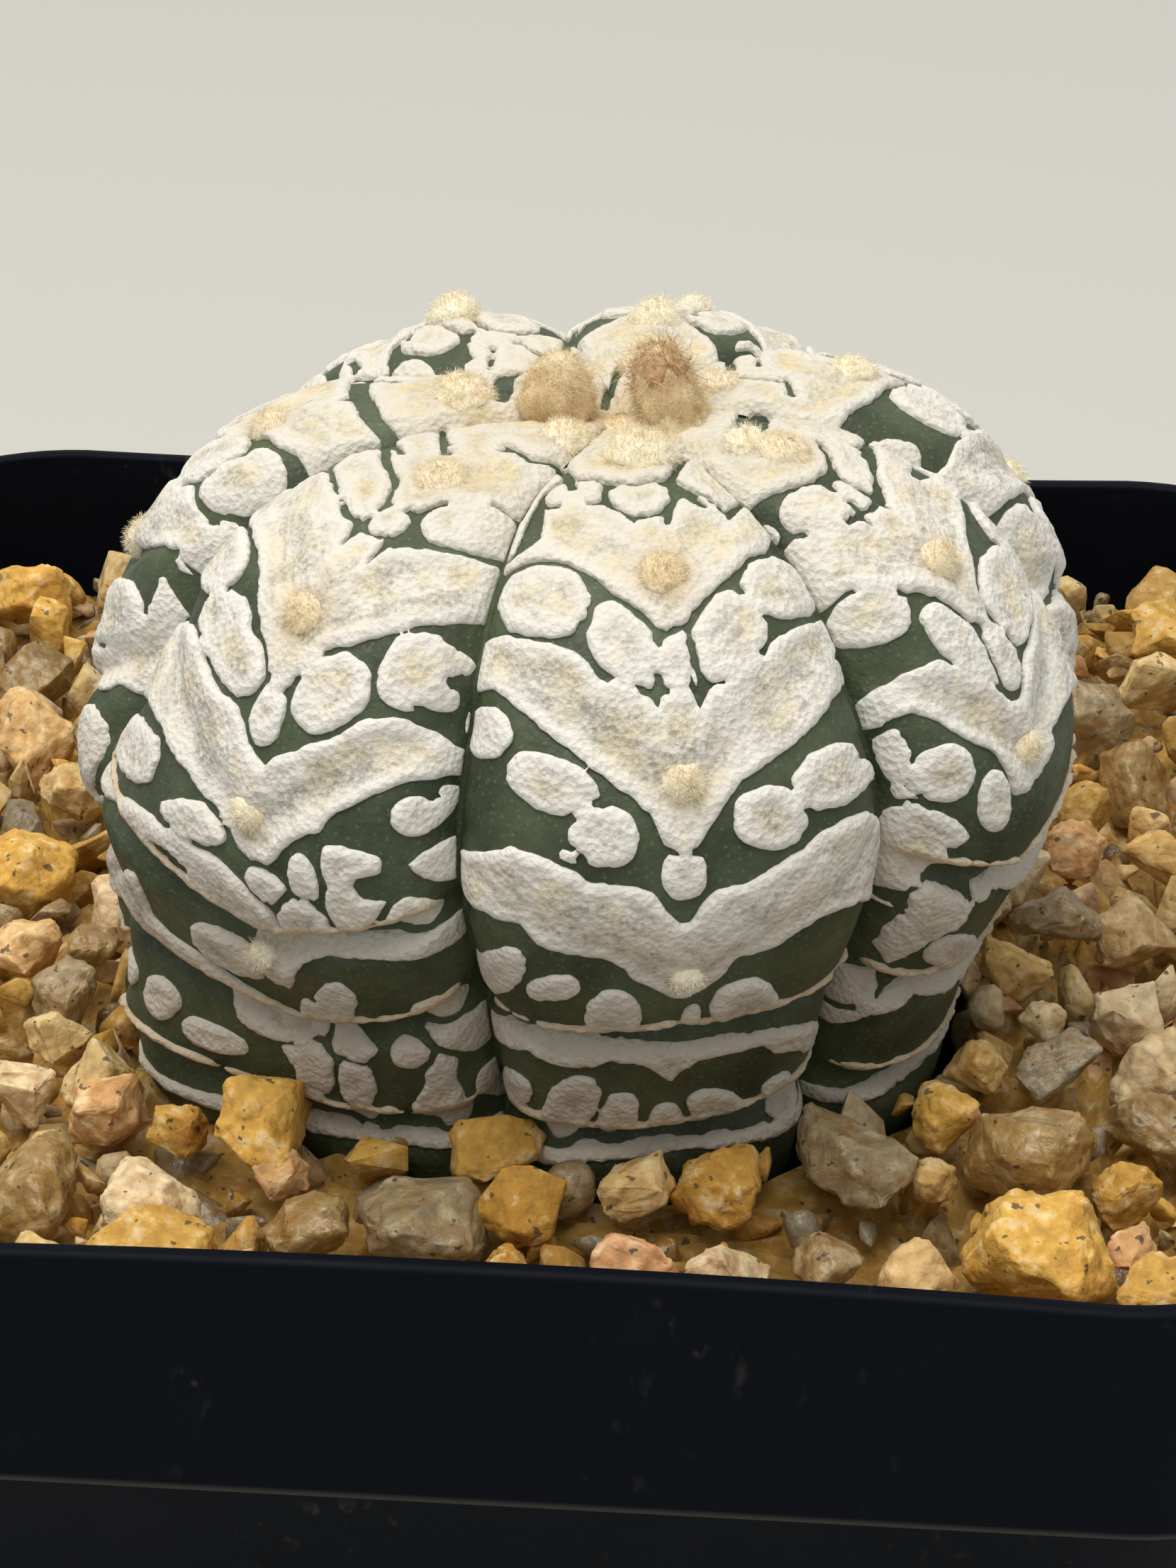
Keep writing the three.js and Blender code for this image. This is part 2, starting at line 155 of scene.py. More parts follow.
def polypropylene(name):
    """Moulded black polypropylene: a fine satin grain, cool black, dulled by dust and dry scuffs,
    with a pale grey line painted where the band steps in: a painted highlight on its rounded edge, and its
    wear."""
    material, tree, place = start_material(name)
    grain = add_node(tree, "ShaderNodeTexNoise", {"Vector": place, "Scale": 2600.0, "Detail": 2.0})
    patches = add_node(tree, "ShaderNodeTexNoise",
                       {"Vector": place, "Scale": 70.0, "Detail": 5.0, "Roughness": 0.62})
    drawn = add_node(tree, "ShaderNodeMapping",
                     {"Vector": place, "Rotation": (0.25, 0.1, 0.9), "Scale": (900.0, 120.0, 500.0)})
    scratches = add_node(tree, "ShaderNodeTexNoise", {"Vector": drawn.outputs[0], "Scale": 1.0, "Detail": 3.0})
    specks = add_node(tree, "ShaderNodeTexVoronoi", {"Vector": place, "Scale": 420.0})
    dusty = add_node(tree, "ShaderNodeMapRange", {0: patches.outputs[0], 1: 0.52, 2: 0.74, 3: 0.0, 4: 1.0})
    dry = add_node(tree, "ShaderNodeMapRange", {0: scratches.outputs[0], 1: 0.6, 2: 0.76, 3: 0.0, 4: 1.0})
    scuff = add_node(tree, "ShaderNodeMath", {0: dusty.outputs[0], 1: dry.outputs[0]}, operation="MULTIPLY")
    grit = add_node(tree, "ShaderNodeMapRange",
                    {0: specks.outputs["Distance"], 1: 0.1, 2: 0.03, 3: 0.0, 4: 1.0})
    here = add_node(tree, "ShaderNodeMath", {0: grit.outputs[0], 1: dusty.outputs[0]}, operation="MULTIPLY")
    marks = add_node(tree, "ShaderNodeMath", {0: scuff.outputs[0], 1: here.outputs[0]}, operation="MAXIMUM")
    # A pale line painted 0.3 mm above the band's lower edge: partly a painted highlight on the rounded edge,
    # partly wear
    height = add_node(tree, "ShaderNodeSeparateXYZ", {0: place})
    off_edge = add_node(tree, "ShaderNodeMath", {0: height.outputs[2], 1: (band_bottom + 0.25) * MM},
                        operation="SUBTRACT")
    off_edge = add_node(tree, "ShaderNodeMath", {0: off_edge.outputs[0]}, operation="ABSOLUTE")
    worn = add_node(tree, "ShaderNodeMapRange",
                    {0: off_edge.outputs[0], 1: 0.00035, 2: 0.00005, 3: 0.0, 4: 0.16})
    film = add_node(tree, "ShaderNodeMix", {0: dusty.outputs[0], 6: linear("#080c13"), 7: linear("#0d1118")},
                    data_type="RGBA")
    share = add_node(tree, "ShaderNodeMath", {0: marks.outputs[0], 1: 0.3}, operation="MULTIPLY")
    share = add_node(tree, "ShaderNodeMath", {0: share.outputs[0], 1: worn.outputs[0]}, operation="MAXIMUM")
    colour = add_node(tree, "ShaderNodeMix", {0: share.outputs[0], 6: film.outputs[2], 7: linear("#8d887c")},
                      data_type="RGBA")
    rough = add_node(tree, "ShaderNodeMapRange", {0: patches.outputs[0], 1: 0.3, 2: 0.7, 3: 0.38, 4: 0.58})
    bump = add_node(tree, "ShaderNodeBump", {"Height": grain.outputs[0], "Strength": 0.12, "Distance": 0.0001})
    finish_material(tree, {
        "Base Color": colour.outputs[2], "Roughness": rough.outputs[0], "Specular IOR Level": 0.05,
        "Normal": bump.outputs[0],
    })
    return material


def make_pot():
    outline = fillet(wall_half(0.8) - 0.8, 0.8, 0.8, -90, 0)
    outline += [(wall_half(z), z) for z in np.linspace(8, band_bottom - 0.5, 8)]
    outline += [(step_half + 0.15, band_bottom - 0.12), (step_half + 0.4, band_bottom)]
    outline += fillet(band_half - 0.45, band_bottom + 0.45, 0.45, -90, 0)
    outline += [(band_half + (rim_half - band_half) * k / 6, band_bottom + 1 + 11.0 * k / 6) for k in range(7)]
    outline += fillet(rim_half - 0.45, pot_height - 0.45, 0.45, 10, 90)
    outline += fillet(rim_half - wall + 0.3, pot_height - 0.3, 0.3, 90, 180)
    outline += [(rim_half - wall - 0.3, pot_height - 4), (band_half - wall - 0.2, band_bottom + wall + 0.5)]
    outline += [(band_half - wall - 0.6, band_bottom + wall), (step_half - wall + 0.3, band_bottom + wall)]
    outline += [(step_half - wall, band_bottom + wall - 0.4)]
    outline += [(wall_half(z) - wall, z) for z in np.linspace(band_bottom - 8, floor_top + 0.6, 6)]
    outline += [(wall_half(floor_top) - wall - 0.6, floor_top)]
    rings = []
    for half, z in outline:
        outer = wall_half(z) if z < band_bottom - 0.3 else rim_half
        corner = base_corner + (rim_corner - base_corner) * z / pot_height + (half - outer)
        bow = side_bow * max(0.0, (z - band_bottom) / (pot_height - band_bottom))
        rings.append(square_ring(half, corner, z, bow))
    count = len(rings[0])
    points = [p for ring in rings for p in ring]
    faces = stacked_faces(len(rings), count)
    for j, flip in ((0, True), (len(rings) - 1, False)):
        middle = len(points)
        points.append((0.0, 0.0, outline[j][1]))
        for i in range(count):
            a, b = j * count + i, j * count + (i + 1) % count
            faces.append((middle, b, a) if flip else (middle, a, b))
    pot = mesh_piece("nursery_pot", points, faces, polypropylene("moulded black polypropylene"))
    drills = bmesh.new()
    for turn in (45, 135, 225, 315):
        x = drain_offset * math.sqrt(2) * math.cos(math.radians(turn))
        y = drain_offset * math.sqrt(2) * math.sin(math.radians(turn))
        bmesh.ops.create_cone(
            drills, cap_ends=True, segments=40, radius1=drain_radius * MM, radius2=drain_radius * MM,
            depth=4 * floor_top * MM, matrix=Matrix.Translation((x * MM, y * MM, 0)))
    drill_mesh = bpy.data.meshes.new("drills")
    drills.to_mesh(drill_mesh)
    drills.free()
    drill = bpy.data.objects.new("drills", drill_mesh)
    bpy.context.scene.collection.objects.link(drill)
    cut = pot.modifiers.new("drain holes", "BOOLEAN")
    cut.operation = "DIFFERENCE"
    cut.solver = "EXACT"
    cut.object = drill
    return bake_modifiers(pot, drill)


def bake_modifiers(piece, *helpers):
    """Replaces a piece's mesh with its evaluated one, and removes its modifiers and its helpers."""
    view = bpy.context.evaluated_depsgraph_get()
    final = bpy.data.meshes.new_from_object(piece.evaluated_get(view), depsgraph=view)
    piece.modifiers.clear()
    piece.data = final
    for helper in helpers:
        bpy.data.objects.remove(helper, do_unlink=True)
    return piece


pot = make_pot()
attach(pot, "root")
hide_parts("pot")


# Potting mix: damp peat, bark and grit that fill the pot below the stones. It shows only through
# the drain holes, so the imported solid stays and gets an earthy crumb.
def potting_soil(name):
    """Damp peat with bark crumbs: near black brown, rough, with crumbs about 2 mm wide."""
    material, tree, place = start_material(name)
    crumbs = add_node(tree, "ShaderNodeTexVoronoi", {"Vector": place, "Scale": 500.0})
    fibres = add_node(tree, "ShaderNodeTexNoise", {"Vector": place, "Scale": 900.0, "Detail": 4.0})
    colour = add_node(tree, "ShaderNodeMix",
                      {0: fibres.outputs[0], 6: linear("#1c130d"), 7: linear("#54402c")}, data_type="RGBA")
    bump = add_node(tree, "ShaderNodeBump",
                    {"Height": crumbs.outputs["Distance"], "Strength": 0.8, "Distance": 0.0008})
    finish_material(tree, {"Base Color": colour.outputs[2], "Roughness": 0.95, "Normal": bump.outputs[0]})
    return material


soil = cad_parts["potting_mix"]
soil.data.materials.clear()
soil.data.materials.append(potting_soil("damp potting mix"))


# Cactus skin: one grown, squat globe with seven broad ribs. Each rib carries its areoles down the
# crest, with a crease at every tier, and the body narrows to a corky neck and a tap root below
# the stones. The flesh is dark grey green with a thin waxy skin.
plant_axis = np.array([5.25, -6.3])
rib_names = ["F", "RF", "R", "B", "BL", "L", "LF"]
rib_turns = [15.7, 62.7, 115.7, 166.7, 217.7, 270.7, 325.7]
groove_turns = [44.4, 92.5, 141.2, 192.2, 244.2, 289.0, 348.8]
crest_profile = [
    (0, 25.2), (4.5, 26.0), (9, 26.3), (14.2, 25.5), (19.2, 23.1), (22.6, 19.2), (24.8, 14.8), (25.3, 10.6),
    (24.1, 6.4), (22.0, 2.0), (20.0, -3.0), (18.9, -8.0), (17.5, -12.0),
]
root_profile = [(16.2, -13.4), (14.5, -14.4), (12.4, -15.6), (10.2, -17), (8.4, -20), (7, -23), (5.6, -27),
                (4.4, -31), (3, -34.5)]
root_tip = -38.0
crown_shift = (1.4, 0.8)
crown_spread = 12.0
areoles = [
    [3.2, 9, 17.5, 27.7, 37.7, 45.6, 52.5], [5, 11.8, 21.3, 31.2, 39.6, 46.8, 53],
    [2.8, 6.6, 14.8, 25.8, 36, 44.2, 51.8], [4.8, 11, 20.8, 31, 39.6, 46.6, 53],
    [3.2, 9.3, 19.5, 29.6, 38.4, 45.8, 52.4], [2.8, 6.8, 16.7, 27.3, 37, 44.8, 52],
    [5, 11.6, 21.6, 31.7, 39.3, 46.4, 52.8],
]
# Creases low on the ribs that face the front, as rib, tier: way down the crest, rise to the left
# and right groove, depth and width
front_creases = {
    (0, 4): (37.7, 6, 6, 0.35, 1.6), (0, 5): (42.0, -1.6, -0.8, 1.5, 1.1), (0, 6): (50.3, -0.5, 0.5, 1.4, 1.1),
    (6, 4): (38.6, 4.6, 2.8, 1.5, 1.1), (6, 5): (45.2, 2.6, 2.0, 1.3, 1.1), (6, 6): (51.6, 1.5, 0.8, 1.2, 1.1),
    (1, 4): (38.3, 3.0, 3.5, 1.2, 1.1), (1, 5): (45.3, 1.0, 2.0, 1.4, 1.1), (1, 6): (51.6, 0.5, 1.0, 1.2, 1.1),
}

# The left flank bulges out low down, where its groove is shallow: bulge by height over the rim
swell_turn = 291
swell_spread = 24
swell_out = np.array([(-14.4, 0), (-12, 3.5), (-8, 6.3), (-3, 6.4), (-0.5, 5), (2, 4), (5, 2.7), (8, 2.2),
                      (14, 0)])
filled_groove = 5
groove_fill = 0.6


def smooth(low, high, x):
    t = np.clip((np.asarray(x, float) - low) / (high - low), 0, 1)
    return t * t * (3 - 2 * t)


def crest_curve():
    """The crest line as way down, distance out, height, and the curve's direction."""
    p = np.array(crest_profile, float)
    p = np.vstack([[-p[1, 0], p[1, 1]], p, 2 * p[-1] - p[-2]])
    t = np.linspace(0, 1, 100, endpoint=False)[:, None]
    spans = [
        0.5 * (2 * b + (c - a) * t + (2 * a - 5 * b + 4 * c - d) * t ** 2 + (3 * b - a - 3 * c + d) * t ** 3)
        for a, b, c, d in zip(p, p[1:], p[2:], p[3:])
    ]
    line = np.vstack([*spans, crest_profile[-1:]])
    down = np.r_[0, np.cumsum(np.hypot(*np.diff(line, axis=0).T))]
    course = np.gradient(line, down, axis=0)
    return down, line, course / np.linalg.norm(course, axis=1, keepdims=True)


crest_down, crest_line, crest_course = crest_curve()
crest_length = crest_down[-1]


def crease_list(k):
    found = []
    for tier, areole in enumerate(areoles[k]):
        rise = np.interp(areole, [0, 6, 18, 28, 36, 42, 56], [0.2, 1.5, 6.5, 8.2, 7.6, 4.5, 2])
        depth = np.interp(areole, [0, 20, 30, 38, 41, 56], [0.1, 0.35, 0.5, 1.0, 1.7, 1.8])
        own = (areole - (1.6 if tier >= 4 else 0), rise, rise, depth, 1.3)
        found.append(front_creases.get((k, tier), own))
    return found


creases = [crease_list(k) for k in range(7)]


def crease_depth(k, u, s):
    total = 0.0
    for centre, left, right, depth, width in creases[k % 7]:
        line = centre - np.where(u < 0, left, right) * np.abs(u)
        total = total + depth * (1 - 0.3 * u * u) * np.exp(-((s - line) / width) ** 2)
    return total


def lip_height(k, u, s):
    """Folded lip that stands over each deep crease, 0 to 1."""
    total = 0.0
    for centre, left, right, depth, width in creases[k % 7]:
        line = centre - np.where(u < 0, left, right) * np.abs(u)
        total = total + (depth >= 1) * np.exp(-((s - line + 1.05) / 0.5) ** 2) * smooth(1.0, 0.85, np.abs(u))
    return np.minimum(total, 1)


def half_angle(k, u):
    """Angle in degrees from a crest to the groove on its left or right side."""
    left = (rib_turns[k] - groove_turns[k - 1]) % 360
    right = (groove_turns[k] - rib_turns[k]) % 360
    return np.where(u < 0, left, right)


def rib_half_width(k, u, s):
    return np.interp(s, crest_down, crest_line[:, 0]) * np.radians(half_angle(k, u))


def skin_points(k, u, s, lift=0.0):
    """Points of rib k's skin: -1 to 1 across it, s mm down its crest, raised by lift."""
    u, s = np.broadcast_arrays(np.asarray(u, float), np.asarray(s, float))
    across = np.abs(u)
    inward = np.interp(s, [0, 4, 12, 18, 24, 40, 56], [0, 0.6, 1.2, 2.4, 3.5, 4.2, 3.2])
    inward = inward * (0.45 * across ** 2 + 0.55 * across ** 7)
    filled = ((k == filled_groove) & (u > 0)) | ((k == filled_groove + 1) & (u < 0))
    inward = inward * (1 - groove_fill * smooth(28, 38, s) * filled)
    side = np.where(u < 0, -1.0, 1.0)
    neighbour = np.where(u < 0, crease_depth(k - 1, 1.0, s), crease_depth(k + 1, -1.0, s))
    meeting = 0.5 * (crease_depth(k, side, s) + neighbour)
    shared = smooth(0.8, 1.0, across)
    inward = inward + crease_depth(k, u, s) * (1 - shared) + meeting * shared - lift - 0.4 * lip_height(k, u, s)
    out, up = (np.interp(s, crest_down, crest_line[:, i]) for i in (0, 1))
    along_out, along_up = (np.interp(s, crest_down, crest_course[:, i]) for i in (0, 1))
    height = up - along_out * inward
    turn = rib_turns[k] + u * half_angle(k, u)
    away = (turn - swell_turn + 180) % 360 - 180
    radius = out + along_up * inward + np.interp(height, *swell_out.T) * np.exp(-(away / swell_spread) ** 2)
    turn = np.radians(turn)
    shift = 1 - smooth(0, crown_spread, s)
    return np.stack([
        plant_axis[0] + radius * np.sin(turn) + crown_shift[0] * shift,
        plant_axis[1] - radius * np.cos(turn) + crown_shift[1] * shift,
        pot_height + height,
    ], axis=-1)


def waxy_flesh(name):
    """Cactus epidermis: dark grey green, faintly waxy, with paler dots under a millimetre across."""
    material, tree, place = start_material(name)
    broad = add_node(tree, "ShaderNodeTexNoise",
                     {"Vector": place, "Scale": 160.0, "Detail": 4.0, "Roughness": 0.6})
    fine = add_node(tree, "ShaderNodeTexNoise",
                    {"Vector": place, "Scale": 1500.0, "Detail": 3.0, "Roughness": 0.6})
    dots = add_node(tree, "ShaderNodeTexVoronoi", {"Vector": place, "Scale": 2600.0})
    share = add_node(tree, "ShaderNodeMapRange", {0: broad.outputs[0], 1: 0.36, 2: 0.66, 3: 0.0, 4: 1.0})
    colour = add_node(tree, "ShaderNodeMix", {0: share.outputs[0], 6: linear("#333d28"), 7: linear("#515c42")},
                      data_type="RGBA")
    dot = add_node(tree, "ShaderNodeMapRange", {0: dots.outputs["Distance"], 1: 0.3, 2: 0.12, 3: 0.0, 4: 0.22})
    colour = add_node(tree, "ShaderNodeMix", {0: dot.outputs[0], 6: colour.outputs[2], 7: linear("#8b8f78")},
                      data_type="RGBA")
    bump = add_node(tree, "ShaderNodeBump", {"Height": fine.outputs[0], "Strength": 0.5, "Distance": 0.0003})
    rough = add_node(tree, "ShaderNodeMapRange", {0: fine.outputs[0], 1: 0.3, 2: 0.7, 3: 0.42, 4: 0.62})
    finish_material(tree, {
        "Base Color": colour.outputs[2], "Roughness": rough.outputs[0], "Normal": bump.outputs[0],
        "Specular IOR Level": 0.35, "Subsurface Weight": 0.08, "Subsurface Radius": (0.0012, 0.0016, 0.0006),
    })
    return material


def make_skin():
    columns = 44
    across = np.sin(np.linspace(-1, 1, columns + 1) * math.pi / 2)[:-1]
    across = 0.6 * across + 0.4 * np.linspace(-1, 1, columns + 1)[:-1]
    rings = []
    for s in np.linspace(0.25, crest_length, 150):
        rings.append(np.concatenate([skin_points(k, across, s) for k in range(7)]))
    turns = np.concatenate([np.radians(rib_turns[k] + across * half_angle(k, across)) for k in range(7)])
    last = np.hypot(*(rings[-1][:, :2] - plant_axis).T)
    for n, (out, up) in enumerate(root_profile):
        folded = (last - last.mean()) * max(0.0, 1 - (n + 1) / 3)
        radius = out + folded
        x, y = plant_axis[0] + radius * np.sin(turns), plant_axis[1] - radius * np.cos(turns)
        rings.append(np.column_stack([x, y, np.full(len(x), pot_height + up)]))
    rings = rings[::-1]
    count = len(rings[0])
    points = np.concatenate(rings)
    faces = stacked_faces(len(rings), count)
    tip = len(points)
    crown = skin_points(0, 0.0, 0.0)
    points = np.vstack([points, [[*plant_axis, pot_height + root_tip]], [crown]])
    last_ring = (len(rings) - 1) * count
    for i in range(count):
        n = (i + 1) % count
        faces.append((tip, n, i))
        faces.append((tip + 1, last_ring + i, last_ring + n))
    return mesh_piece("cactus_skin", points, faces, waxy_flesh("cactus epidermis"))


skin = make_skin()
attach(skin, "root")
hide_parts("cactus")


# Felt: dense white trichomes stand 0.3 mm proud of the skin in broad chevrons, one to a tier, with
# lobed pads between them and thin green lines left bare. Marks are placed in mm across from the
# crest and down it. Sheets run from an upper to a lower edge. Pads are centre, half width, half
# height and tilt. Patches and holes are outlines.
above_all = [(-30, -2), (30, -2)]
marks = {
    "F": {
        "sheets": [
            (above_all, [(-7, 15), (-5.6, 13.2), (-4.9, 11.2), (-4.2, 9.9), (-3.5, 9.3), (-2.5, 8.9),
                         (-1.4, 9.1), (0.4, 9.9), (1.4, 9.6), (2, 9.7), (2.6, 10.2), (3.9, 11.9),
                         (4.6, 12.6), (5.9, 11.6), (7, 11)]),
            ([(-5.6, 14.6), (-4.7, 13.9), (-4.3, 12.5), (-4.1, 11.6), (-2.6, 11.2), (-1.2, 11.9),
              (-0.6, 12.8), (-0.15, 13.4), (0.35, 12.9), (0.9, 12.95), (1.3, 13.4), (1.7, 12.6), (2.3, 12),
              (3.2, 11.65), (4.2, 12.2), (4.6, 13.7), (5.2, 13.1), (6.2, 12.1), (8, 11.5)],
             [(-6.8, 15.2), (-5, 15.05), (-3.7, 15.3), (-2.5, 16.4), (-1.4, 18.1), (-0.3, 19.5), (0.2, 20),
              (1.3, 19.4), (2.05, 18.7), (3.2, 17.6), (4.3, 16.9), (5, 16.2), (6.1, 15.9), (7.2, 14.3),
              (8, 13.5)]),
            ([(-10, 19), (-8.4, 19.25), (-6.55, 19.7), (-5.2, 20.2), (-4.05, 20.8), (-3.1, 21.9),
              (-1.3, 22.7), (-0.6, 23.8), (-0.4, 22.9), (1.1, 22.9), (1.2, 24), (1.9, 23.1), (3.7, 22.2),
              (5.7, 21.05), (7.05, 20.6), (8.4, 20.4), (9.8, 19.7), (12, 18.8)],
             [(-10.5, 22), (-8.5, 22.2), (-7.5, 22.9), (-6.3, 24), (-4.9, 25.1), (-3.8, 26.3), (-2.4, 27.3),
              (-1.4, 28.3), (-1, 29.4), (-0.3, 30.3), (0.25, 30.3), (0.95, 29.4), (1.8, 28.3), (2.9, 27.2),
              (4.3, 26.6), (5.9, 25.9), (7.2, 25.2), (8.4, 24.4), (9.6, 23.9), (12, 23.7)]),
            ([(-13, 32.2), (-11.8, 31.6), (-10.7, 31.05), (-9.1, 30.5), (-8.2, 30.1), (-6.8, 30.5),
              (-5.4, 30.8), (-4.6, 31.6), (-2.4, 31.9), (-1.6, 32.3), (-0.9, 33.3), (-0.5, 33.9),
              (0.2, 33.9), (0.7, 33.1), (1.4, 32.3), (2.9, 32.2), (4.6, 31.6), (5.9, 31.2), (6.6, 30.7),
              (8.4, 30.4), (10.1, 30.6), (12.1, 31.9), (13.5, 33)],
             [(-13, 36), (-11, 34.8), (-10, 34.3), (-7.9, 34.3), (-7, 35.3), (-5.7, 35.7), (-3.9, 35.9),
              (-2.9, 36.5), (-2.4, 37.3), (-1.3, 38), (-0.7, 38.5), (0.1, 38.9), (0.9, 38.2), (1.8, 37.5),
              (2.5, 36.6), (3.7, 36.4), (4.8, 36.2), (5.7, 35.6), (7.3, 35.25), (9.3, 35.5), (10.4, 36.4),
              (11.2, 37.5), (13, 40)]),
            ([(-12, 47.6), (-10, 45.4), (-8.5, 44.2), (-7, 43.7), (-5, 43.4), (0, 43.3), (3, 43.5),
              (5, 43.9), (6.5, 44.3), (8, 45.2), (9, 46.8), (10, 48.5)],
             [(-12, 49), (-9.6, 46.6), (-8.6, 45.4), (-7.25, 44.7), (-5.4, 44.9), (-3.9, 44.6), (-3.2, 44),
              (-1.6, 44.1), (-0.9, 44.7), (-0.2, 45.6), (0.3, 44.9), (1, 44.2), (3, 44.1), (4.6, 44.4),
              (5.4, 45.4), (6.8, 46.2), (8.7, 48.2), (10, 49.5)]),
            ([(-10, 52.2), (-6, 51.9), (-4, 51.3), (0, 51.1), (3, 51.2), (7, 51.5), (10, 51.9)],
             [(-10, 52.8), (-6, 52.5), (-4, 51.9), (-1, 51.5), (1, 51.4), (3, 51.6), (7, 52.2), (10, 52.5)]),
        ],
        "pads": [
            (-2.6, 10.35, 1.3, 1.1, 0), (-5.2, 17.75, 2.15, 2.05, 0), (6.7, 18.15, 2.35, 1.75, 0),
            (-1.85, 20.4, 1.45, 2.2, 18), (3.25, 20.45, 1.75, 2.25, -25), (0.45, 21.6, 0.85, 1.5, 0),
            (-9.1, 24.5, 1.4, 1.25, 0), (-5.9, 26.9, 2.15, 1.25, -20), (-3.7, 29.3, 1.5, 1.35, 0),
            (4.3, 29.25, 1.8, 1.35, -15), (-0.1, 31.35, 0.95, 1.05, 0), (-9.2, 39.1, 0.95, 2.8, -22),
            (-6.2, 38.4, 1.3, 0.7, 35), (-3.2, 40.4, 1.25, 2.2, 0), (0.5, 40.5, 0.35, 0.8, 0),
            (3.2, 40.4, 1.55, 2.2, 20), (-8, 48.7, 0.8, 1.4, -25), (-4.9, 48.4, 1.2, 2.7, -15),
            (-2.6, 48.8, 0.9, 1.9, -8), (-0.1, 48.9, 0.8, 1.2, 0), (2.3, 48.5, 1.0, 1.8, 50),
            (5.8, 48.5, 0.75, 0.6, 0), (7, 50.9, 1.1, 0.8, 0), (-5.3, 30.3, 0.35, 0.3, 0),
        ],
        "patches": [
            [(-1, 10.5), (-0.3, 10.2), (0.5, 10.35), (1.3, 10.2), (1.85, 10.8), (1.8, 11.7), (1.1, 12.4),
             (0.6, 12.9), (-0.1, 12.5), (-0.8, 11.7)],
            [(5.5, 28.3), (5.6, 27.5), (6.6, 26.8), (8.3, 26.6), (9.6, 26.9), (9.9, 27.5), (9.3, 27.9),
             (10.5, 27.9), (12, 28.5), (12.1, 29.1), (10.2, 29.1), (8.5, 29.5), (7, 29.4), (6, 29.1)],
        ],
        "holes": [
            [(-3.3, 6), (-2.9, 6.1), (-2.3, 9.3), (-2.7, 9.5)], [(3, 6), (3.3, 6.4), (2.4, 9), (2, 9.1)],
            [(9.1, 22.4), (10.5, 21.8), (12, 22.2), (10.4, 22.8)],
        ],
    },
    "LF": {
        "sheets": [
            (above_all, [(-6, 9.8), (-5, 10.7), (-3.7, 11.3), (-2.5, 11.9), (-1.6, 12.3), (-1, 13.4),
                         (-0.5, 14.1), (0.9, 14), (1.3, 13.3), (1.6, 12.8), (2.7, 12.1), (4.7, 11.5),
                         (6, 10.8)]),
            ([(-8, 14.6), (-6.4, 14.1), (-4.2, 14.8), (-2.6, 15.7), (-1.7, 15.9), (-1, 17.6), (-0.75, 16.3),
              (0, 16.1), (0.65, 16.3), (0.95, 18), (1.3, 16.7), (2.2, 16.2), (4.1, 15.5), (5.8, 14.7),
              (7, 14)],
             [(-12, 18.6), (-10.4, 18.6), (-7.9, 18.8), (-6, 19.4), (-4.9, 20.2), (-3.9, 21.3),
              (-2.8, 22.3), (-1.8, 23.3), (-1.1, 24.25), (-0.6, 24.7), (0.2, 24.7), (0.8, 23.7),
              (1.4, 22.6), (2.6, 21.6), (3.4, 21.05), (4.7, 20.1), (5.9, 19.25), (6.9, 18.1), (8.5, 17)]),
            ([(-13.5, 25.8), (-10.7, 25), (-8.8, 24.6), (-6.8, 24.7), (-5.4, 25.4), (-4.1, 26.05),
              (-2.4, 26.5), (-1.3, 27.4), (-0.2, 28.3), (0.4, 28.6), (0.9, 27.9), (2.1, 27.2), (3.2, 26.3),
              (4.3, 25.2), (5.9, 24.6), (7.6, 24.8), (8.7, 25.3), (10.5, 26)],
             [(-13.5, 30), (-11.3, 29.25), (-9.3, 29.25), (-7.9, 29.5), (-6.6, 30.1), (-4.9, 30.5),
              (-3.2, 31.2), (-1.8, 31.9), (-1, 32.6), (0.4, 33.2), (1.4, 33.1), (2.1, 31.9), (3.2, 31),
              (3.9, 30.8), (4.3, 29.9), (5.1, 29.1), (6.5, 28.1), (7.6, 27.3), (9, 27), (10.5, 27)]),
            ([(-17, 35.2), (-15, 34.9), (-13, 34.7), (-10.5, 34.3), (-9, 33.9), (-7, 33.7), (-4.1, 33.6),
              (-1.8, 34), (-0.2, 34.7), (1.2, 35.8), (1.4, 37.2), (2.4, 38), (5.2, 37.5), (7, 37.2),
              (8.5, 37.3), (10.5, 37)],
             [(-17, 36.4), (-14, 36), (-12, 35.8), (-10, 35.8), (-7, 35.7), (-5, 36), (-2.5, 37.1),
              (-1.4, 38.6), (-0.9, 41.4), (0.2, 41.6), (0.9, 40.3), (1.6, 39.4), (3, 38.7), (4.7, 38.3),
              (6.9, 38.3), (8, 38.5), (10.5, 39)]),
            ([(-15, 42.4), (-13, 41.6), (-11.3, 40.3), (-10, 38.6), (-9.2, 38.4), (-8.8, 39.8), (-8.7, 41),
              (-7.5, 41.6), (-5.6, 42), (-4.2, 42.6), (-2.6, 43.3), (-1.4, 43.6), (-0.9, 44.4), (0.2, 44.9),
              (0.8, 46.6), (9, 46.6)],
             [(-15, 44.2), (-12.5, 44), (-10.5, 43.6), (-8, 43.7), (-6, 44.1), (-4.8, 44.9), (-4, 46),
              (-3, 46.6), (-1.6, 46.8), (-0.6, 46.6), (0.2, 46), (0.8, 45.6), (9, 45.6)]),
            ([(-10, 52.6), (-3, 52.2), (2, 52.1), (4, 51.9), (10, 52)],
             [(-10, 53), (0, 52.8), (4, 52.5), (10, 52.6)]),
        ],
        "pads": [
            (0, 15, 1.0, 0.95, 0), (3.65, 13.55, 2.15, 1.65, 8), (-9.3, 21, 2.8, 1.8, 0),
            (2.5, 24.25, 1.8, 1.95, -20), (-0.3, 26, 0.9, 1.5, 0), (5.9, 22.1, 1.45, 1.95, 0),
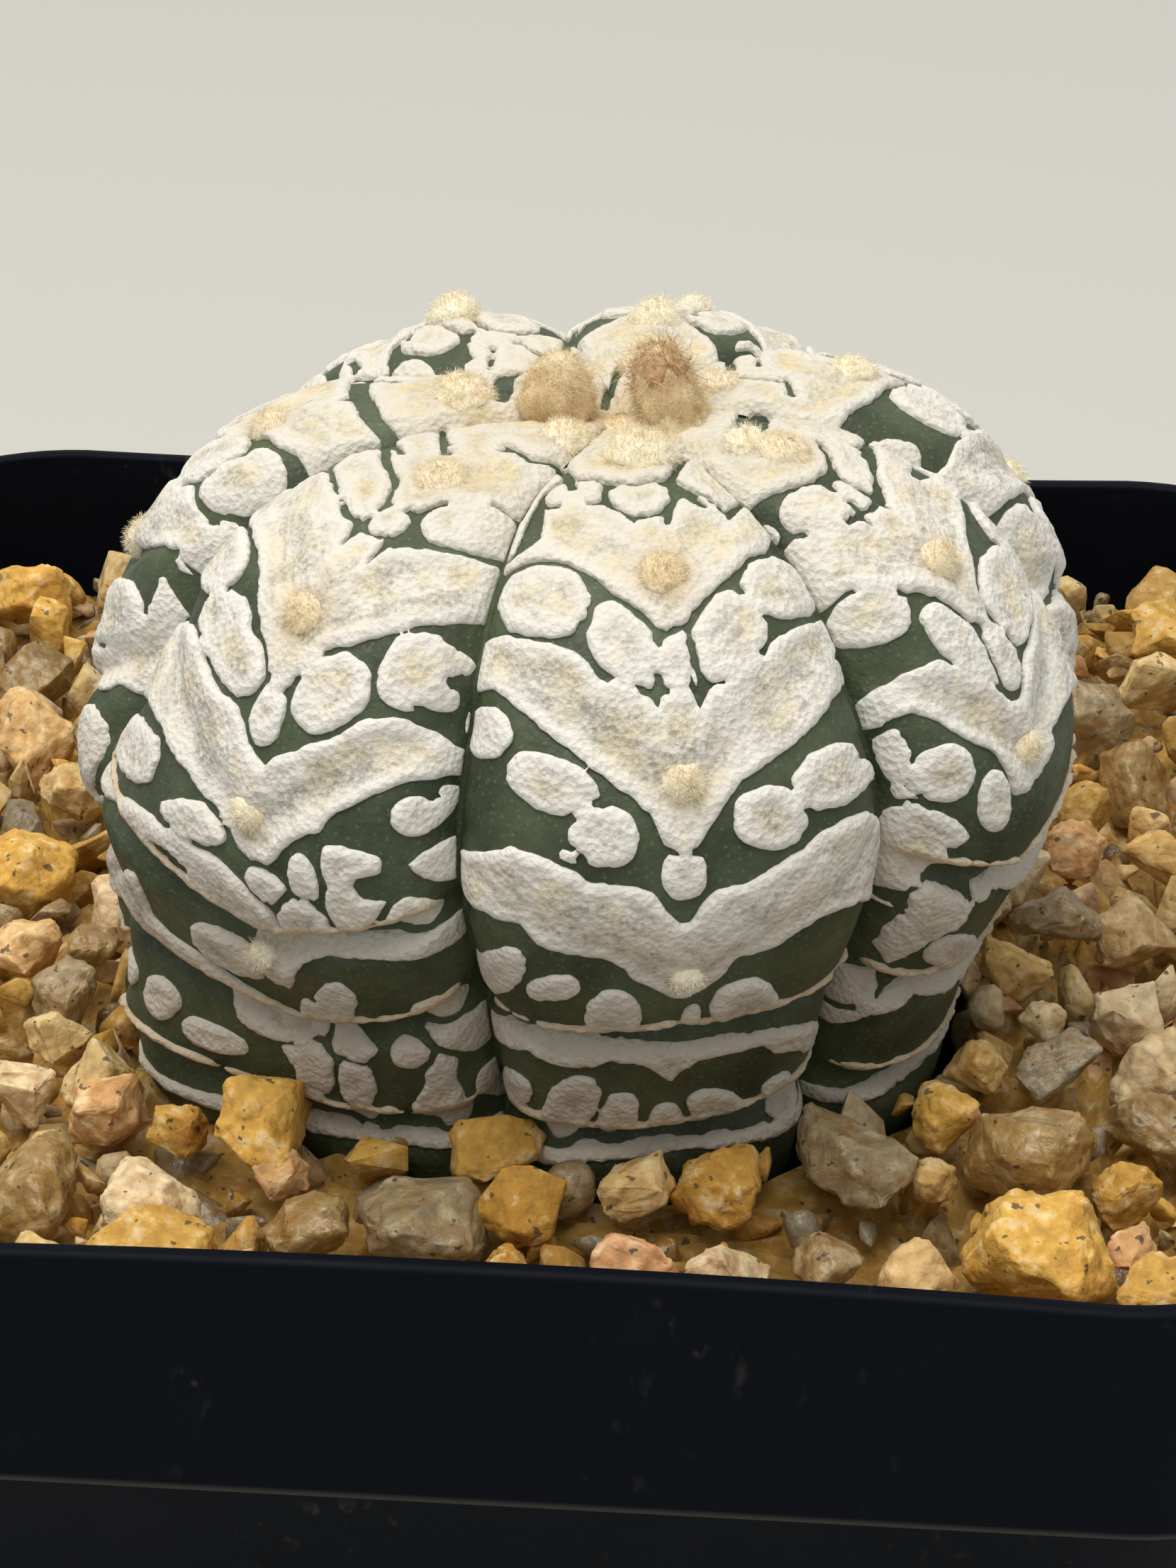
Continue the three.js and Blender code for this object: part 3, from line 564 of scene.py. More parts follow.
            (7, 21.1, 0.8, 0.8, 0), (7.2, 23, 0.75, 0.7, 0), (8.9, 23.3, 0.25, 0.8, 0),
            (8.4, 29.2, 1.1, 0.95, 0), (9.2, 28.3, 0.4, 0.9, 0), (-3.9, 32.7, 2.25, 0.9, 10),
            (1.1, 34.3, 1.1, 0.9, -20), (3.3, 33.5, 0.6, 1.25, 12), (3, 36.1, 1.35, 1.5, 0),
            (8.1, 35.6, 1.05, 1.4, -20), (2.4, 42.4, 0.85, 2, -30), (0.9, 43.2, 0.5, 0.8, -20),
            (-3.2, 40.6, 2.1, 1.35, -8), (-8.3, 46.8, 1.0, 1.15, 0), (-5.5, 47.9, 1.4, 0.75, -5),
            (-11.3, 47, 0.9, 0.8, 0), (7, 43.2, 0.9, 1.1, 0), (5.05, 46, 0.85, 0.8, 0),
            (1.6, 48.6, 0.85, 1.6, -12), (0.2, 51.2, 1.3, 0.5, -35), (7.9, 49.8, 0.65, 1.2, 0),
        ],
        "patches": [
            [(-6.4, 12.6), (-5.2, 11.3), (-3.8, 12), (-2.4, 12.5), (-1.7, 13), (-1.15, 14.2), (-0.95, 15),
             (-1.3, 15.5), (-2.3, 15.4), (-3.6, 14.8), (-5, 14.3), (-6.6, 13.8)],
            [(-8.2, 23.1), (-7.6, 22.2), (-6.2, 21.8), (-4.9, 21.8), (-4.1, 22.2), (-3.3, 23.1),
             (-2.3, 23.3), (-1.6, 24), (-1.3, 24.8), (-1.6, 25.5), (-2.5, 25.9), (-3.8, 25.8), (-5, 25.4),
             (-6.5, 24.9), (-7.8, 24.2)],
            [(4.4, 31.4), (5.2, 31.3), (6.9, 31.6), (7, 32.4), (5.9, 32.7), (5.7, 33.4), (6.1, 34.1),
             (7.2, 34.2), (6.9, 35), (5.6, 36), (4.7, 36.1), (4.4, 35), (4.7, 33.5), (4.3, 32.4)],
            [(8.3, 31.9), (9.3, 31), (10.2, 30.3), (12, 30.3), (12, 34.8), (10.6, 34.3), (9.8, 33.6),
             (8.8, 32.6)],
            [(0.5, 45.1), (1.5, 45.1), (3.3, 45.9), (2.2, 46.9), (1, 46.5)],
            [(-1.9, 47), (-0.2, 46.4), (0.7, 47.2), (0.3, 49), (-0.5, 50.2), (-0.9, 51.6), (-1.6, 50.4),
             (-1.4, 48.4)],
            [(-14.9, 32.2), (-14, 31.4), (-12, 30.8), (-10, 30.4), (-8.3, 30.3), (-7.8, 31), (-7.9, 32.2),
             (-9, 32.7), (-11, 33), (-13.3, 33.3), (-14.6, 32.9)],
            [(6, 44.5), (8.8, 44.8), (8.8, 47.3), (7.6, 47), (6.8, 45.8)],
            [(6.3, 46.3), (6.9, 47), (6.4, 48.4), (6.5, 49.9), (6.2, 51.4), (5.2, 51.7), (4.8, 51.2),
             (4, 51), (4.3, 49.6), (5.2, 48.4), (5.6, 47)],
        ],
        "holes": [
            [(-4.1, 8.1), (-2, 8.5), (-2, 8.9), (-4.1, 8.5)],
            [(-7.4, 34.9), (-5.6, 34.7), (-4, 35.2), (-4.2, 35.9), (-5.8, 35.9), (-7.2, 35.4)],
            [(-0.4, 6.9), (1.6, 7.2), (3, 6.6), (3, 7), (1.6, 7.6), (-0.4, 7.3)],
        ],
    },
    "RF": {
        "sheets": [
            (above_all, [(-6, 12), (-5.2, 12.2), (-3.7, 12.35), (-2.3, 13.1), (-1.7, 13.4), (0.2, 13.5),
                         (1.3, 12.7), (2.3, 11.7), (2.6, 12.2), (3, 13.3), (3.8, 13.7), (6.5, 13.8)]),
            ([(-8, 15), (-6.6, 14.9), (-6, 15.4), (-3.9, 15.6), (-2.8, 16.4), (-1.75, 16.7), (-1.5, 17.7),
              (-1.2, 16.8), (0, 16.8), (0.2, 17.7), (0.5, 17), (1, 16.7), (2.4, 15.5), (3.6, 15.1),
              (5, 14.6), (7.5, 14.3)],
             [(-8, 20), (-6.4, 19.2), (-5, 19.4), (-3.9, 20.4), (-2.8, 21), (-1.7, 21.9), (-0.9, 23.1),
              (-0.2, 24.2), (0.4, 24.5), (0.8, 24), (1.1, 22.7), (1.9, 21.8), (3, 20.8), (4.7, 19.9),
              (5.8, 19.4), (8, 19.25), (10, 19.3)]),
            ([(-7.5, 25), (-6.4, 24.8), (-5.2, 24.6), (-3.6, 24.7), (-2.6, 25.4), (-1.7, 26.5),
              (-0.9, 27.6), (-0.5, 28.3), (0.4, 28.2), (1.3, 27.5), (2.4, 26.9), (4.1, 26.4), (6.3, 26),
              (8.6, 26), (11, 26.3)],
             [(-7, 26.7), (-6.6, 26.5), (-5.6, 26.3), (-4.5, 27.6), (-3.4, 29.1), (-2.4, 29.9),
              (-2.05, 31.3), (-2.05, 32.4), (-0.9, 32.7), (0.2, 32.5), (2.2, 31.7), (2.3, 31), (4.1, 30.6),
              (6.3, 30.6), (8.8, 31.5), (11, 32)]),
            ([(-2.9, 38.8), (-2.6, 38.1), (-0.9, 38.3), (1.3, 38.7), (5.8, 38.3), (10, 38.3)],
             [(-2.9, 39), (-0.9, 39), (1.05, 39.8), (4, 40), (8, 40.5)]),
            ([(-6, 47.1), (-5.1, 45.8), (-2.6, 45.1), (0.2, 46.1), (4, 45.6), (9, 45.6)],
             [(-6, 47.9), (-5.1, 46.6), (-2.6, 45.9), (0.2, 46.9), (4, 46.4), (9, 46.4)]),
            ([(-9, 52.2), (0, 51.9), (9, 52.2)], [(-9, 52.7), (0, 52.4), (9, 52.7)]),
        ],
        "pads": [
            (-4.95, 13.7, 0.7, 1.15, 0), (-2.4, 15, 1.45, 1.5, 0), (-0.45, 15.5, 0.55, 1, 0),
            (-4.8, 21.2, 1.5, 1.5, 0), (7.3, 21.7, 1.4, 1.5, 0), (-1.9, 24.6, 1.05, 2.5, 16),
            (0.4, 26, 0.95, 1.75, 0), (-5.5, 30, 1.35, 1.4, 0), (-3.15, 32.4, 0.9, 1.5, 0),
            (-7, 29, 0.38, 2.1, 0), (-2, 42.7, 2.4, 1.0, -30),
        ],
        "patches": [
            [(2.6, 12), (1.5, 13.1), (0.5, 14.2), (0.15, 15.2), (0.5, 15.9), (1.5, 15.4), (2.6, 14.7),
             (3.5, 14.2), (3.2, 13)],
            [(1, 24), (1.2, 23.2), (2, 22.5), (3.2, 22), (5, 22.2), (7.5, 23), (8.4, 24.3), (7, 25.8),
             (5, 25.9), (3, 26.3), (1.9, 26.2), (1.3, 25.2)],
            [(-7.6, 31.6), (-7.1, 31.2), (-6.3, 31.8), (-5.2, 33), (-4.8, 33.8), (-5.4, 34.2), (-5.9, 34.1),
             (-5.6, 35.8), (-6.2, 37.1), (-7.6, 38), (-8.5, 36), (-8, 33)],
            [(-6.3, 36.8), (-3.7, 38.1), (-2.8, 39), (-3.3, 40.3), (-4.3, 41), (-4.8, 41.8), (-5.6, 42.9),
             (-6.3, 42), (-6.3, 39)],
            [(-6.4, 44.6), (-5, 44.4), (-4.7, 45.4), (-5.4, 46.4), (-6.4, 46.5)],
        ],
        "holes": [
            [(-0.8, 8.3), (0.2, 7.2), (3.3, 6.6), (5, 6.3), (5, 7.8), (3.8, 8.2), (0.3, 9.9), (-0.4, 9.4)],
            [(3.9, 16.55), (5.2, 16.45), (7.6, 16.6), (7.6, 17.8), (6.3, 17.8), (5, 17.3)],
        ],
    },
    "L": {
        "sheets": [
            (above_all, [(-6, 13.4), (-5.6, 13.1), (-3.7, 12.0), (-0.9, 11.2), (0.2, 10.8), (1.9, 10.4),
                         (3.1, 9.7), (6, 9)]),
            ([(-6, 14.6), (-3.7, 13.4), (-0.9, 12.4), (-0.3, 12.9), (0.2, 12.0), (1.9, 11.6), (3.1, 10.9),
              (6, 10.5)],
             [(-8, 23), (-4.5, 21.2), (-1.7, 19.8), (0, 18.4), (0.5, 17.7), (1.3, 16.4), (2.7, 15.75),
              (3.6, 14.9), (4.7, 14.6), (6.5, 14.5)]),
            ([(-8, 26), (-5, 24.5), (-1.4, 23.1), (0.2, 22.2), (1.3, 21.8), (2.4, 21), (3.6, 21.1), (5, 21),
              (7, 20)],
             [(-8, 31), (-5, 29), (-0.6, 26.8), (0.8, 26), (2.2, 25), (3.6, 24), (5.2, 23.3), (7, 23.5)]),
            ([(-8, 33), (-5, 31), (0, 29.2), (1.9, 27.8), (3.6, 26.9), (5.2, 26.9), (5.9, 27.4), (6.6, 28)],
             [(-8, 38), (-5, 36), (0, 34.4), (2.4, 33.1), (4.7, 32.6), (5.9, 32.2), (6.4, 31.4)]),
            ([(-9, 42), (-3, 43), (3, 42.4), (8, 42)], [(-9, 44), (0, 45.6), (4, 44.5), (8, 44.5)]),
            ([(-9, 51.2), (0, 51.6), (9, 51.4)], [(-9, 51.9), (0, 52.2), (9, 51.9)]),
        ],
        "pads": [
            (3.85, 18.3, 1.4, 2.3, 0), (0.6, 19.9, 1.6, 2.5, -25), (5.8, 21.8, 0.8, 1.9, 0),
            (5.3, 36.3, 1.7, 2.9, -20), (0.5, 37.8, 2.0, 2.0, 0), (-4.5, 39.5, 2.2, 1.6, 20),
            (-6.5, 24.3, 1.4, 0.8, 0), (2.6, 48, 1.5, 1.8, -20), (-3, 48.4, 1.6, 1.7, 20),
            (6.4, 39.6, 0.9, 1.4, 0),
        ],
        "patches": [
            [(5.4, 25), (6.9, 25.8), (7.2, 28), (7.2, 30.3), (6.2, 30), (5.8, 28), (5.9, 26.5)],
        ],
        "holes": [
            [(-3.4, 6.9), (-2.8, 6), (0, 5), (0, 5.9), (-2.6, 6.8)],
            [(0.5, 32.4), (1.6, 31.5), (3, 30.9), (4.2, 30.4), (3.2, 31.3), (1.7, 32)],
        ],
    },
}


def grown_marks(k):
    """Marks for a rib that faces away: the same chevrons, pads and stems, at its own areoles."""
    random = np.random.default_rng(400 + k)
    tiers = [a for a in areoles[k] if a > 8]
    sheets, pads = [], []
    lower = None
    for tier, areole in enumerate(tiers):
        half = float(rib_half_width(k, 1.0, areole)) + 0.5
        rise = np.interp(areole, [9, 16, 28, 38, 45, 54], [2.5, 5.0, 6.0, 3.6, 1.5, 0.5])
        x = np.linspace(-half, half, 15)
        v = np.abs(x) / half
        above = np.interp(areole, [9, 30, 40, 54], [2.6, 3.4, 3.2, 1.0])
        below = np.interp(areole, [9, 30, 40, 54], [2.2, 2.7, 1.2, 0.5])
        over = areole - above - rise * v ** 0.8 + random.normal(0, 0.25, 15)
        under = areole + below - (rise + 1.6) * v ** 0.7 + random.normal(0, 0.25, 15)
        over[7] += 0.9
        if tier == 0:
            over[:] = -2
        if lower is not None:
            for place in (-0.66, -0.26, 0.26, 0.66):
                at = place * half + random.normal(0, 0.3)
                top, bottom = np.interp(at, x, lower), np.interp(at, x, over)
                if bottom - top > 2.2:
                    size = (1.9 if abs(place) > 0.5 else 1.5) * random.uniform(0.85, 1.15)
                    pads.append((at, (top + bottom) / 2, size, (bottom - top) / 2 - 0.55,
                                 random.uniform(-20, 20)))
            top, bottom = lower[7], over[7]
            pads.append((0.0, (top + bottom) / 2, 0.7, max(0.5, (bottom - top) / 2 - 0.2), 0))
        sheets.append((list(zip(x, over)), list(zip(x, under))))
        lower = under
    return {"sheets": sheets, "pads": pads, "patches": [], "holes": []}


# Green lines left bare in the crown's felt, seen from above: width, then points in mm from the axis
crown_lines = [
    (0.45, [(-2.3, 14.8), (-2.1, 11.5), (-2.1, 7)]), (0.35, [(-2, 11), (-1.2, 10.3), (-0.2, 10.5)]),
    (0.4, [(-4.6, 7.6), (-3, 5.6)]), (0.3, [(-5.7, 6.8), (-5.6, 4.5)]), (1.05, [(-4.8, 3.5), (-4.6, 0.4)]),
    (0.4, [(-4.1, 3.9), (-4.8, 3.3)]), (0.5, [(0.85, 5), (0.5, 3.2), (0.5, 1.6)]),
    (0.35, [(2.2, 2), (2.6, 1.5), (3.1, -1), (3.4, -3.3)]), (1.0, [(3.6, 13), (4.1, 12.4)]),
    (0.3, [(4.3, 11), (5.5, 8.7), (6, 8.3)]), (0.5, [(7.3, 9.6), (6.1, 8.2), (6.6, 4.4)]),
    (0.3, [(7.4, 9.2), (8, 4.8)]), (0.35, [(6.9, 3.4), (9.2, 3.2)]), (0.35, [(9.4, 3.6), (9.8, 2.2)]),
    (1.25, [(8.3, 0.2), (8.2, -4.3)]), (0.8, [(14.4, 2.4), (14, 1.4)]),
    (0.3, [(13.7, 0.6), (13.9, -1.5), (13.6, -3.7)]), (0.4, [(9.3, 9), (12.3, 8.1)]),
    (0.4, [(10, 10), (10.6, 11.2)]), (0.45, [(5.2, -5.4), (4.7, -8.8)]), (0.7, [(5.1, -9.8), (6.3, -10.4)]),
    (0.4, [(5, -11), (4.9, -12.4)]),
    (0.4, [(-3.6, -6.2), (-2.9, -6.1), (-2.2, -6.8), (-0.9, -6.3), (-0.4, -8), (0.2, -9.8)]),
    (0.35, [(-7.1, -2.3), (-6.5, -6)]), (0.6, [(-6.4, -6.2), (-6.2, -6.6)]),
    (0.35, [(-9.5, -3.2), (-9.3, -4.5), (-8.5, -6.1)]), (0.45, [(-13.5, 9.5), (-12.9, 7.6)]),
    (0.3, [(-13, 7), (-10.2, 5)]), (1.1, [(-12, 5.2), (-12, 2.4)]), (0.6, [(-11.6, 2.8), (-9.9, 2)]),
    (0.5, [(-11, 9), (-11, 6.8)]), (0.25, [(-10.5, 12.5), (-10.4, 8.6)]),
]
for k, rib_name in enumerate(rib_names):
    marks.setdefault(rib_name, grown_marks(k))


def value_noise(x, y, seed):
    """Smooth random heights between -1 and 1 over the plane, one cell per unit."""
    grid = np.random.default_rng(seed).uniform(-1, 1, (128, 128))
    column, row = np.floor(x).astype(int), np.floor(y).astype(int)
    a, b = x - column, y - row
    a, b = a * a * (3 - 2 * a), b * b * (3 - 2 * b)
    near, far, low, high = column % 128, (column + 1) % 128, row % 128, (row + 1) % 128
    first = grid[near, low] * (1 - a) + grid[far, low] * a
    last = grid[near, high] * (1 - a) + grid[far, high] * a
    return first * (1 - b) + last * b


def sheet_distance(x, s, upper, lower):
    """Distance to a band between two edges, negative inside, in mm."""
    found = []
    for edge, side in ((upper, 1), (lower, -1)):
        ex, es = np.array(edge, float).T
        slope = (np.interp(x + 0.15, ex, es) - np.interp(x - 0.15, ex, es)) / 0.3
        found.append(side * (np.interp(x, ex, es) - s) / np.sqrt(1 + np.minimum(slope ** 2, 9)))
    return np.maximum(*found)


def pad_distance(x, s, pad):
    cx, cs, half_x, half_s, tilt = pad
    cos, sin = math.cos(math.radians(tilt)), math.sin(math.radians(tilt))
    a = (x - cx) * cos - (s - cs) * sin
    b = (x - cx) * sin + (s - cs) * cos
    q = (np.abs(a / half_x) ** 2.3 + np.abs(b / half_s) ** 2.3) ** (1 / 2.3)
    return (q - 1) * min(half_x, half_s)


def patch_distance(x, s, outline):
    corners = np.array(outline, float)
    nearest = np.full(np.shape(x), 1e9)
    inside = np.zeros(np.shape(x), bool)
    for (x0, s0), (x1, s1) in zip(corners, np.roll(corners, -1, axis=0)):
        dx, ds = x1 - x0, s1 - s0
        t = np.clip(((x - x0) * dx + (s - s0) * ds) / (dx * dx + ds * ds), 0, 1)
        nearest = np.minimum(nearest, np.hypot(x - x0 - t * dx, s - s0 - t * ds))
        crossing = (s0 > s) != (s1 > s)
        with np.errstate(divide="ignore", invalid="ignore"):
            inside ^= crossing & (x < x0 + (s - s0) * dx / ds if ds else False)
    return np.where(inside, -nearest, nearest)


crown_reach = 18
far_away = 9.0


def crown_line_distance(k, u, s):
    """Distance to the nearest bare line in the crown, negative inside it."""
    x, y = np.moveaxis(skin_points(k, u, s)[..., :2] - plant_axis, -1, 0)
    found = np.full(np.shape(x), far_away)
    for width, line in crown_lines:
        for (x0, y0), (x1, y1) in zip(line, line[1:]):
            dx, dy = x1 - x0, y1 - y0
            t = np.clip(((x - x0) * dx + (y - y0) * dy) / (dx * dx + dy * dy), 0, 1)
            found = np.minimum(found, np.hypot(x - x0 - t * dx, y - y0 - t * dy) - width / 2)
    return np.where(s < crown_reach, found, far_away)


bare_line = 0.34
felt_swell = 0.1
groove_edge = 0.985
joined_crown = 8


def felt_distance(k, u, x, s):
    """Distance to the nearest felt edge on rib k, negative inside, with ragged edges."""
    own = marks[rib_names[k]]
    shapes = [sheet_distance(x, s, upper, lower) for upper, lower in own["sheets"]]
    for outline in own["holes"]:
        cut = -patch_distance(x, s, outline)
        shapes = [np.maximum(d, cut) for d in shapes]
    shapes += [pad_distance(x, s, pad) for pad in own["pads"]]
    shapes += [patch_distance(x, s, outline) for outline in own["patches"]]
    nearest, second = np.full(np.shape(x), far_away), np.full(np.shape(x), far_away)
    for d in shapes:
        second = np.minimum(second, np.maximum(nearest, d))
        nearest = np.minimum(nearest, d)
    # Marks swell a little, yet a green line stays between neighbours
    line = np.where(nearest + second > 0.03, bare_line / 2 - (second - nearest) / 2, -far_away)
    d = np.maximum(nearest - felt_swell, line)
    d = np.minimum(d, 0.75 - lip_height(k, u, s) + 0.25 * value_noise(x * 1.7 + 9, s + 3, 53))
    d = np.maximum(d, -crown_line_distance(k, u, s))
    d = d + 0.06 * value_noise(x * 1.1 + 40, s * 1.1 + 7 * k, 51)
    d = d + 0.06 * value_noise(x * 3.1 + 20, s * 3.1 + 9 * k, 52)
    clear_of_groove = np.maximum(d, (np.abs(u) - groove_edge) * rib_half_width(k, u, s))
    return np.where(s < joined_crown, d, clear_of_groove)


# Wool tufts on the areoles, as rib, across, down, radius, height and warmth. The crown's are the
# youngest, thick and straw yellow, and those below turn tan and then white.
wool_tufts = [
    (0, 0.6, 7.2, 1.9, 1.3, 0.25), (0, 0.6, 16.8, 1.35, 1.0, 0.8), (0, 0.2, 27.0, 1.15, 0.85, 0.35),
    (0, 0.1, 37.2, 0.9, 0.7, 0.0), (6, 1.0, 4.8, 1.4, 1.1, 0.35), (6, 0.0, 11.2, 1.5, 0.9, 0.5),
    (6, -0.4, 21.1, 1.3, 0.95, 0.7), (6, -0.2, 31.0, 1.1, 0.8, 0.15), (6, -0.5, 39.8, 0.85, 0.6, 0.05),
    (1, -0.9, 9.2, 1.3, 0.8, 0.15), (1, 0.0, 11.2, 1.5, 1.1, 0.45), (1, 0.0, 20.6, 1.25, 0.9, 0.45),
    (1, 0.0, 30.7, 1.05, 0.8, 0.05), (2, 0.3, 14.3, 1.4, 1.0, 0.15), (2, 0.0, 25.8, 1.1, 0.8, 0.1),
    (2, -0.2, 6.0, 1.2, 0.8, 0.4), (3, 0.2, 10.8, 1.5, 1.5, 0.1), (3, -0.3, 15.4, 1.0, 0.8, 0.0),
    (3, 0.0, 31.0, 1.0, 0.8, 0.0), (3, 0.0, 5.0, 1.2, 0.8, 0.5), (4, -0.4, 14.2, 1.5, 1.5, 0.15),
    (4, 0.0, 29.6, 1.1, 0.8, 0.1), (4, 0.4, 4.6, 1.1, 0.7, 0.6), (5, 0.0, 7.0, 1.7, 1.3, 0.4),
    (5, 0.1, 16.4, 1.25, 0.8, 0.55), (5, -0.6, 26.4, 1.25, 0.9, 0.4), (5, -0.5, 36.0, 1.0, 0.7, 0.1),
    (0, 0.0, 2.2, 1.3, 0.7, 0.7), (2, 0.0, 1.8, 1.0, 0.6, 1.0),
]


def felt(name):
    """Felt of matted trichomes: white where its edges stand up, cream to straw yellow inside, greyer
    low down, partly with age and partly as painted shade, tan round the areoles. Its tufts are 0.3 mm apart and
    catch the light one by one."""
    material, tree, place = start_material(name)
    warm = add_node(tree, "ShaderNodeAttribute", attribute_name="warm").outputs["Fac"]
    age = add_node(tree, "ShaderNodeAttribute", attribute_name="age").outputs["Fac"]
    inner = add_node(tree, "ShaderNodeAttribute", attribute_name="inner").outputs["Fac"]
    broad = add_node(tree, "ShaderNodeTexNoise",
                     {"Vector": place, "Scale": 380.0, "Detail": 5.0, "Roughness": 0.65})
    tufts = add_node(tree, "ShaderNodeTexVoronoi", {"Vector": place, "Scale": 2900.0})
    fibres = add_node(tree, "ShaderNodeTexNoise",
                      {"Vector": place, "Scale": 3600.0, "Detail": 4.0, "Roughness": 0.7})
    grown = add_node(tree, "ShaderNodeMapRange", {0: age, 1: 0.0, 2: 0.5, 3: 0.0, 4: 1.0})
    # The lowest felt goes grey: partly its age, partly painted shade on the lower tiers
    aged_and_shaded = add_node(tree, "ShaderNodeMapRange", {0: age, 1: 0.5, 2: 1.0, 3: 0.0, 4: 1.0})
    colour = add_node(tree, "ShaderNodeMix", {0: grown.outputs[0], 6: linear("#dcd7c8"), 7: linear("#e6e3da")},
                      data_type="RGBA")
    colour = add_node(tree, "ShaderNodeMix", {0: aged_and_shaded.outputs[0], 6: colour.outputs[2], 7: linear("#d0c9b9")},
                      data_type="RGBA")
    yellow = add_node(tree, "ShaderNodeMapRange", {0: broad.outputs[0], 1: 0.43, 2: 0.62, 3: 0.0, 4: 0.9})
    yellow = add_node(tree, "ShaderNodeMath", {0: yellow.outputs[0], 1: inner}, operation="MULTIPLY")
    fresh = add_node(tree, "ShaderNodeMapRange", {0: age, 1: 0.0, 2: 1.0, 3: 1.0, 4: 0.3})
    yellow = add_node(tree, "ShaderNodeMath", {0: yellow.outputs[0], 1: fresh.outputs[0]}, operation="MULTIPLY")
    colour = add_node(tree, "ShaderNodeMix",
                      {0: yellow.outputs[0], 6: colour.outputs[2], 7: linear("#decd9f")}, data_type="RGBA")
    colour = add_node(tree, "ShaderNodeMix", {0: warm, 6: colour.outputs[2], 7: linear("#cdb388")},
                      data_type="RGBA")
    # The skin shows grey where the felt is thin, between strands most of all
    strand = add_node(tree, "ShaderNodeAttribute", attribute_name="strand").outputs["Fac"]
    worn = add_node(tree, "ShaderNodeTexNoise",
                    {"Vector": place, "Scale": 620.0, "Detail": 5.0, "Roughness": 0.75})
    bare = add_node(tree, "ShaderNodeMath", {0: strand, 1: -0.14, 2: worn.outputs[0]}, operation="MULTIPLY_ADD")
    thin = add_node(tree, "ShaderNodeMapRange", {0: bare.outputs[0], 1: 0.44, 2: 0.6, 3: 0.0, 4: 0.95})
    thin = add_node(tree, "ShaderNodeMath", {0: thin.outputs[0], 1: inner}, operation="MULTIPLY")
    gaps = add_node(tree, "ShaderNodeMapRange", {0: fibres.outputs[0], 1: 0.64, 2: 0.4, 3: 0.1, 4: 0.8})
    young = add_node(tree, "ShaderNodeMapRange", {0: age, 1: 0.0, 2: 0.4, 3: 0.45, 4: 1.0})
    gaps = add_node(tree, "ShaderNodeMath", {0: gaps.outputs[0], 1: young.outputs[0]}, operation="MULTIPLY")
    gaps = add_node(tree, "ShaderNodeMath", {0: gaps.outputs[0], 1: thin.outputs[0]}, operation="MULTIPLY")
    colour = add_node(tree, "ShaderNodeMix", {0: gaps.outputs[0], 6: colour.outputs[2], 7: linear("#8f8c7f")},
                      data_type="RGBA")
    relief = add_node(tree, "ShaderNodeMath", {0: tufts.outputs["Distance"], 1: fibres.outputs[0]},
                      operation="ADD")
    bump = add_node(tree, "ShaderNodeBump", {"Height": relief.outputs[0], "Strength": 0.6, "Distance": 0.00025})
    finish_material(tree, {
        "Base Color": colour.outputs[2], "Roughness": 0.95, "Normal": bump.outputs[0],
        "Specular IOR Level": 0.12, "Sheen Weight": 0.15, "Sheen Roughness": 0.6,
        "Subsurface Weight": 0.08, "Subsurface Radius": (0.0008, 0.0007, 0.0005),
    })
    return material


matted_felt = felt("matted trichome felt")
felt_height = 0.3
felt_root = 0.08


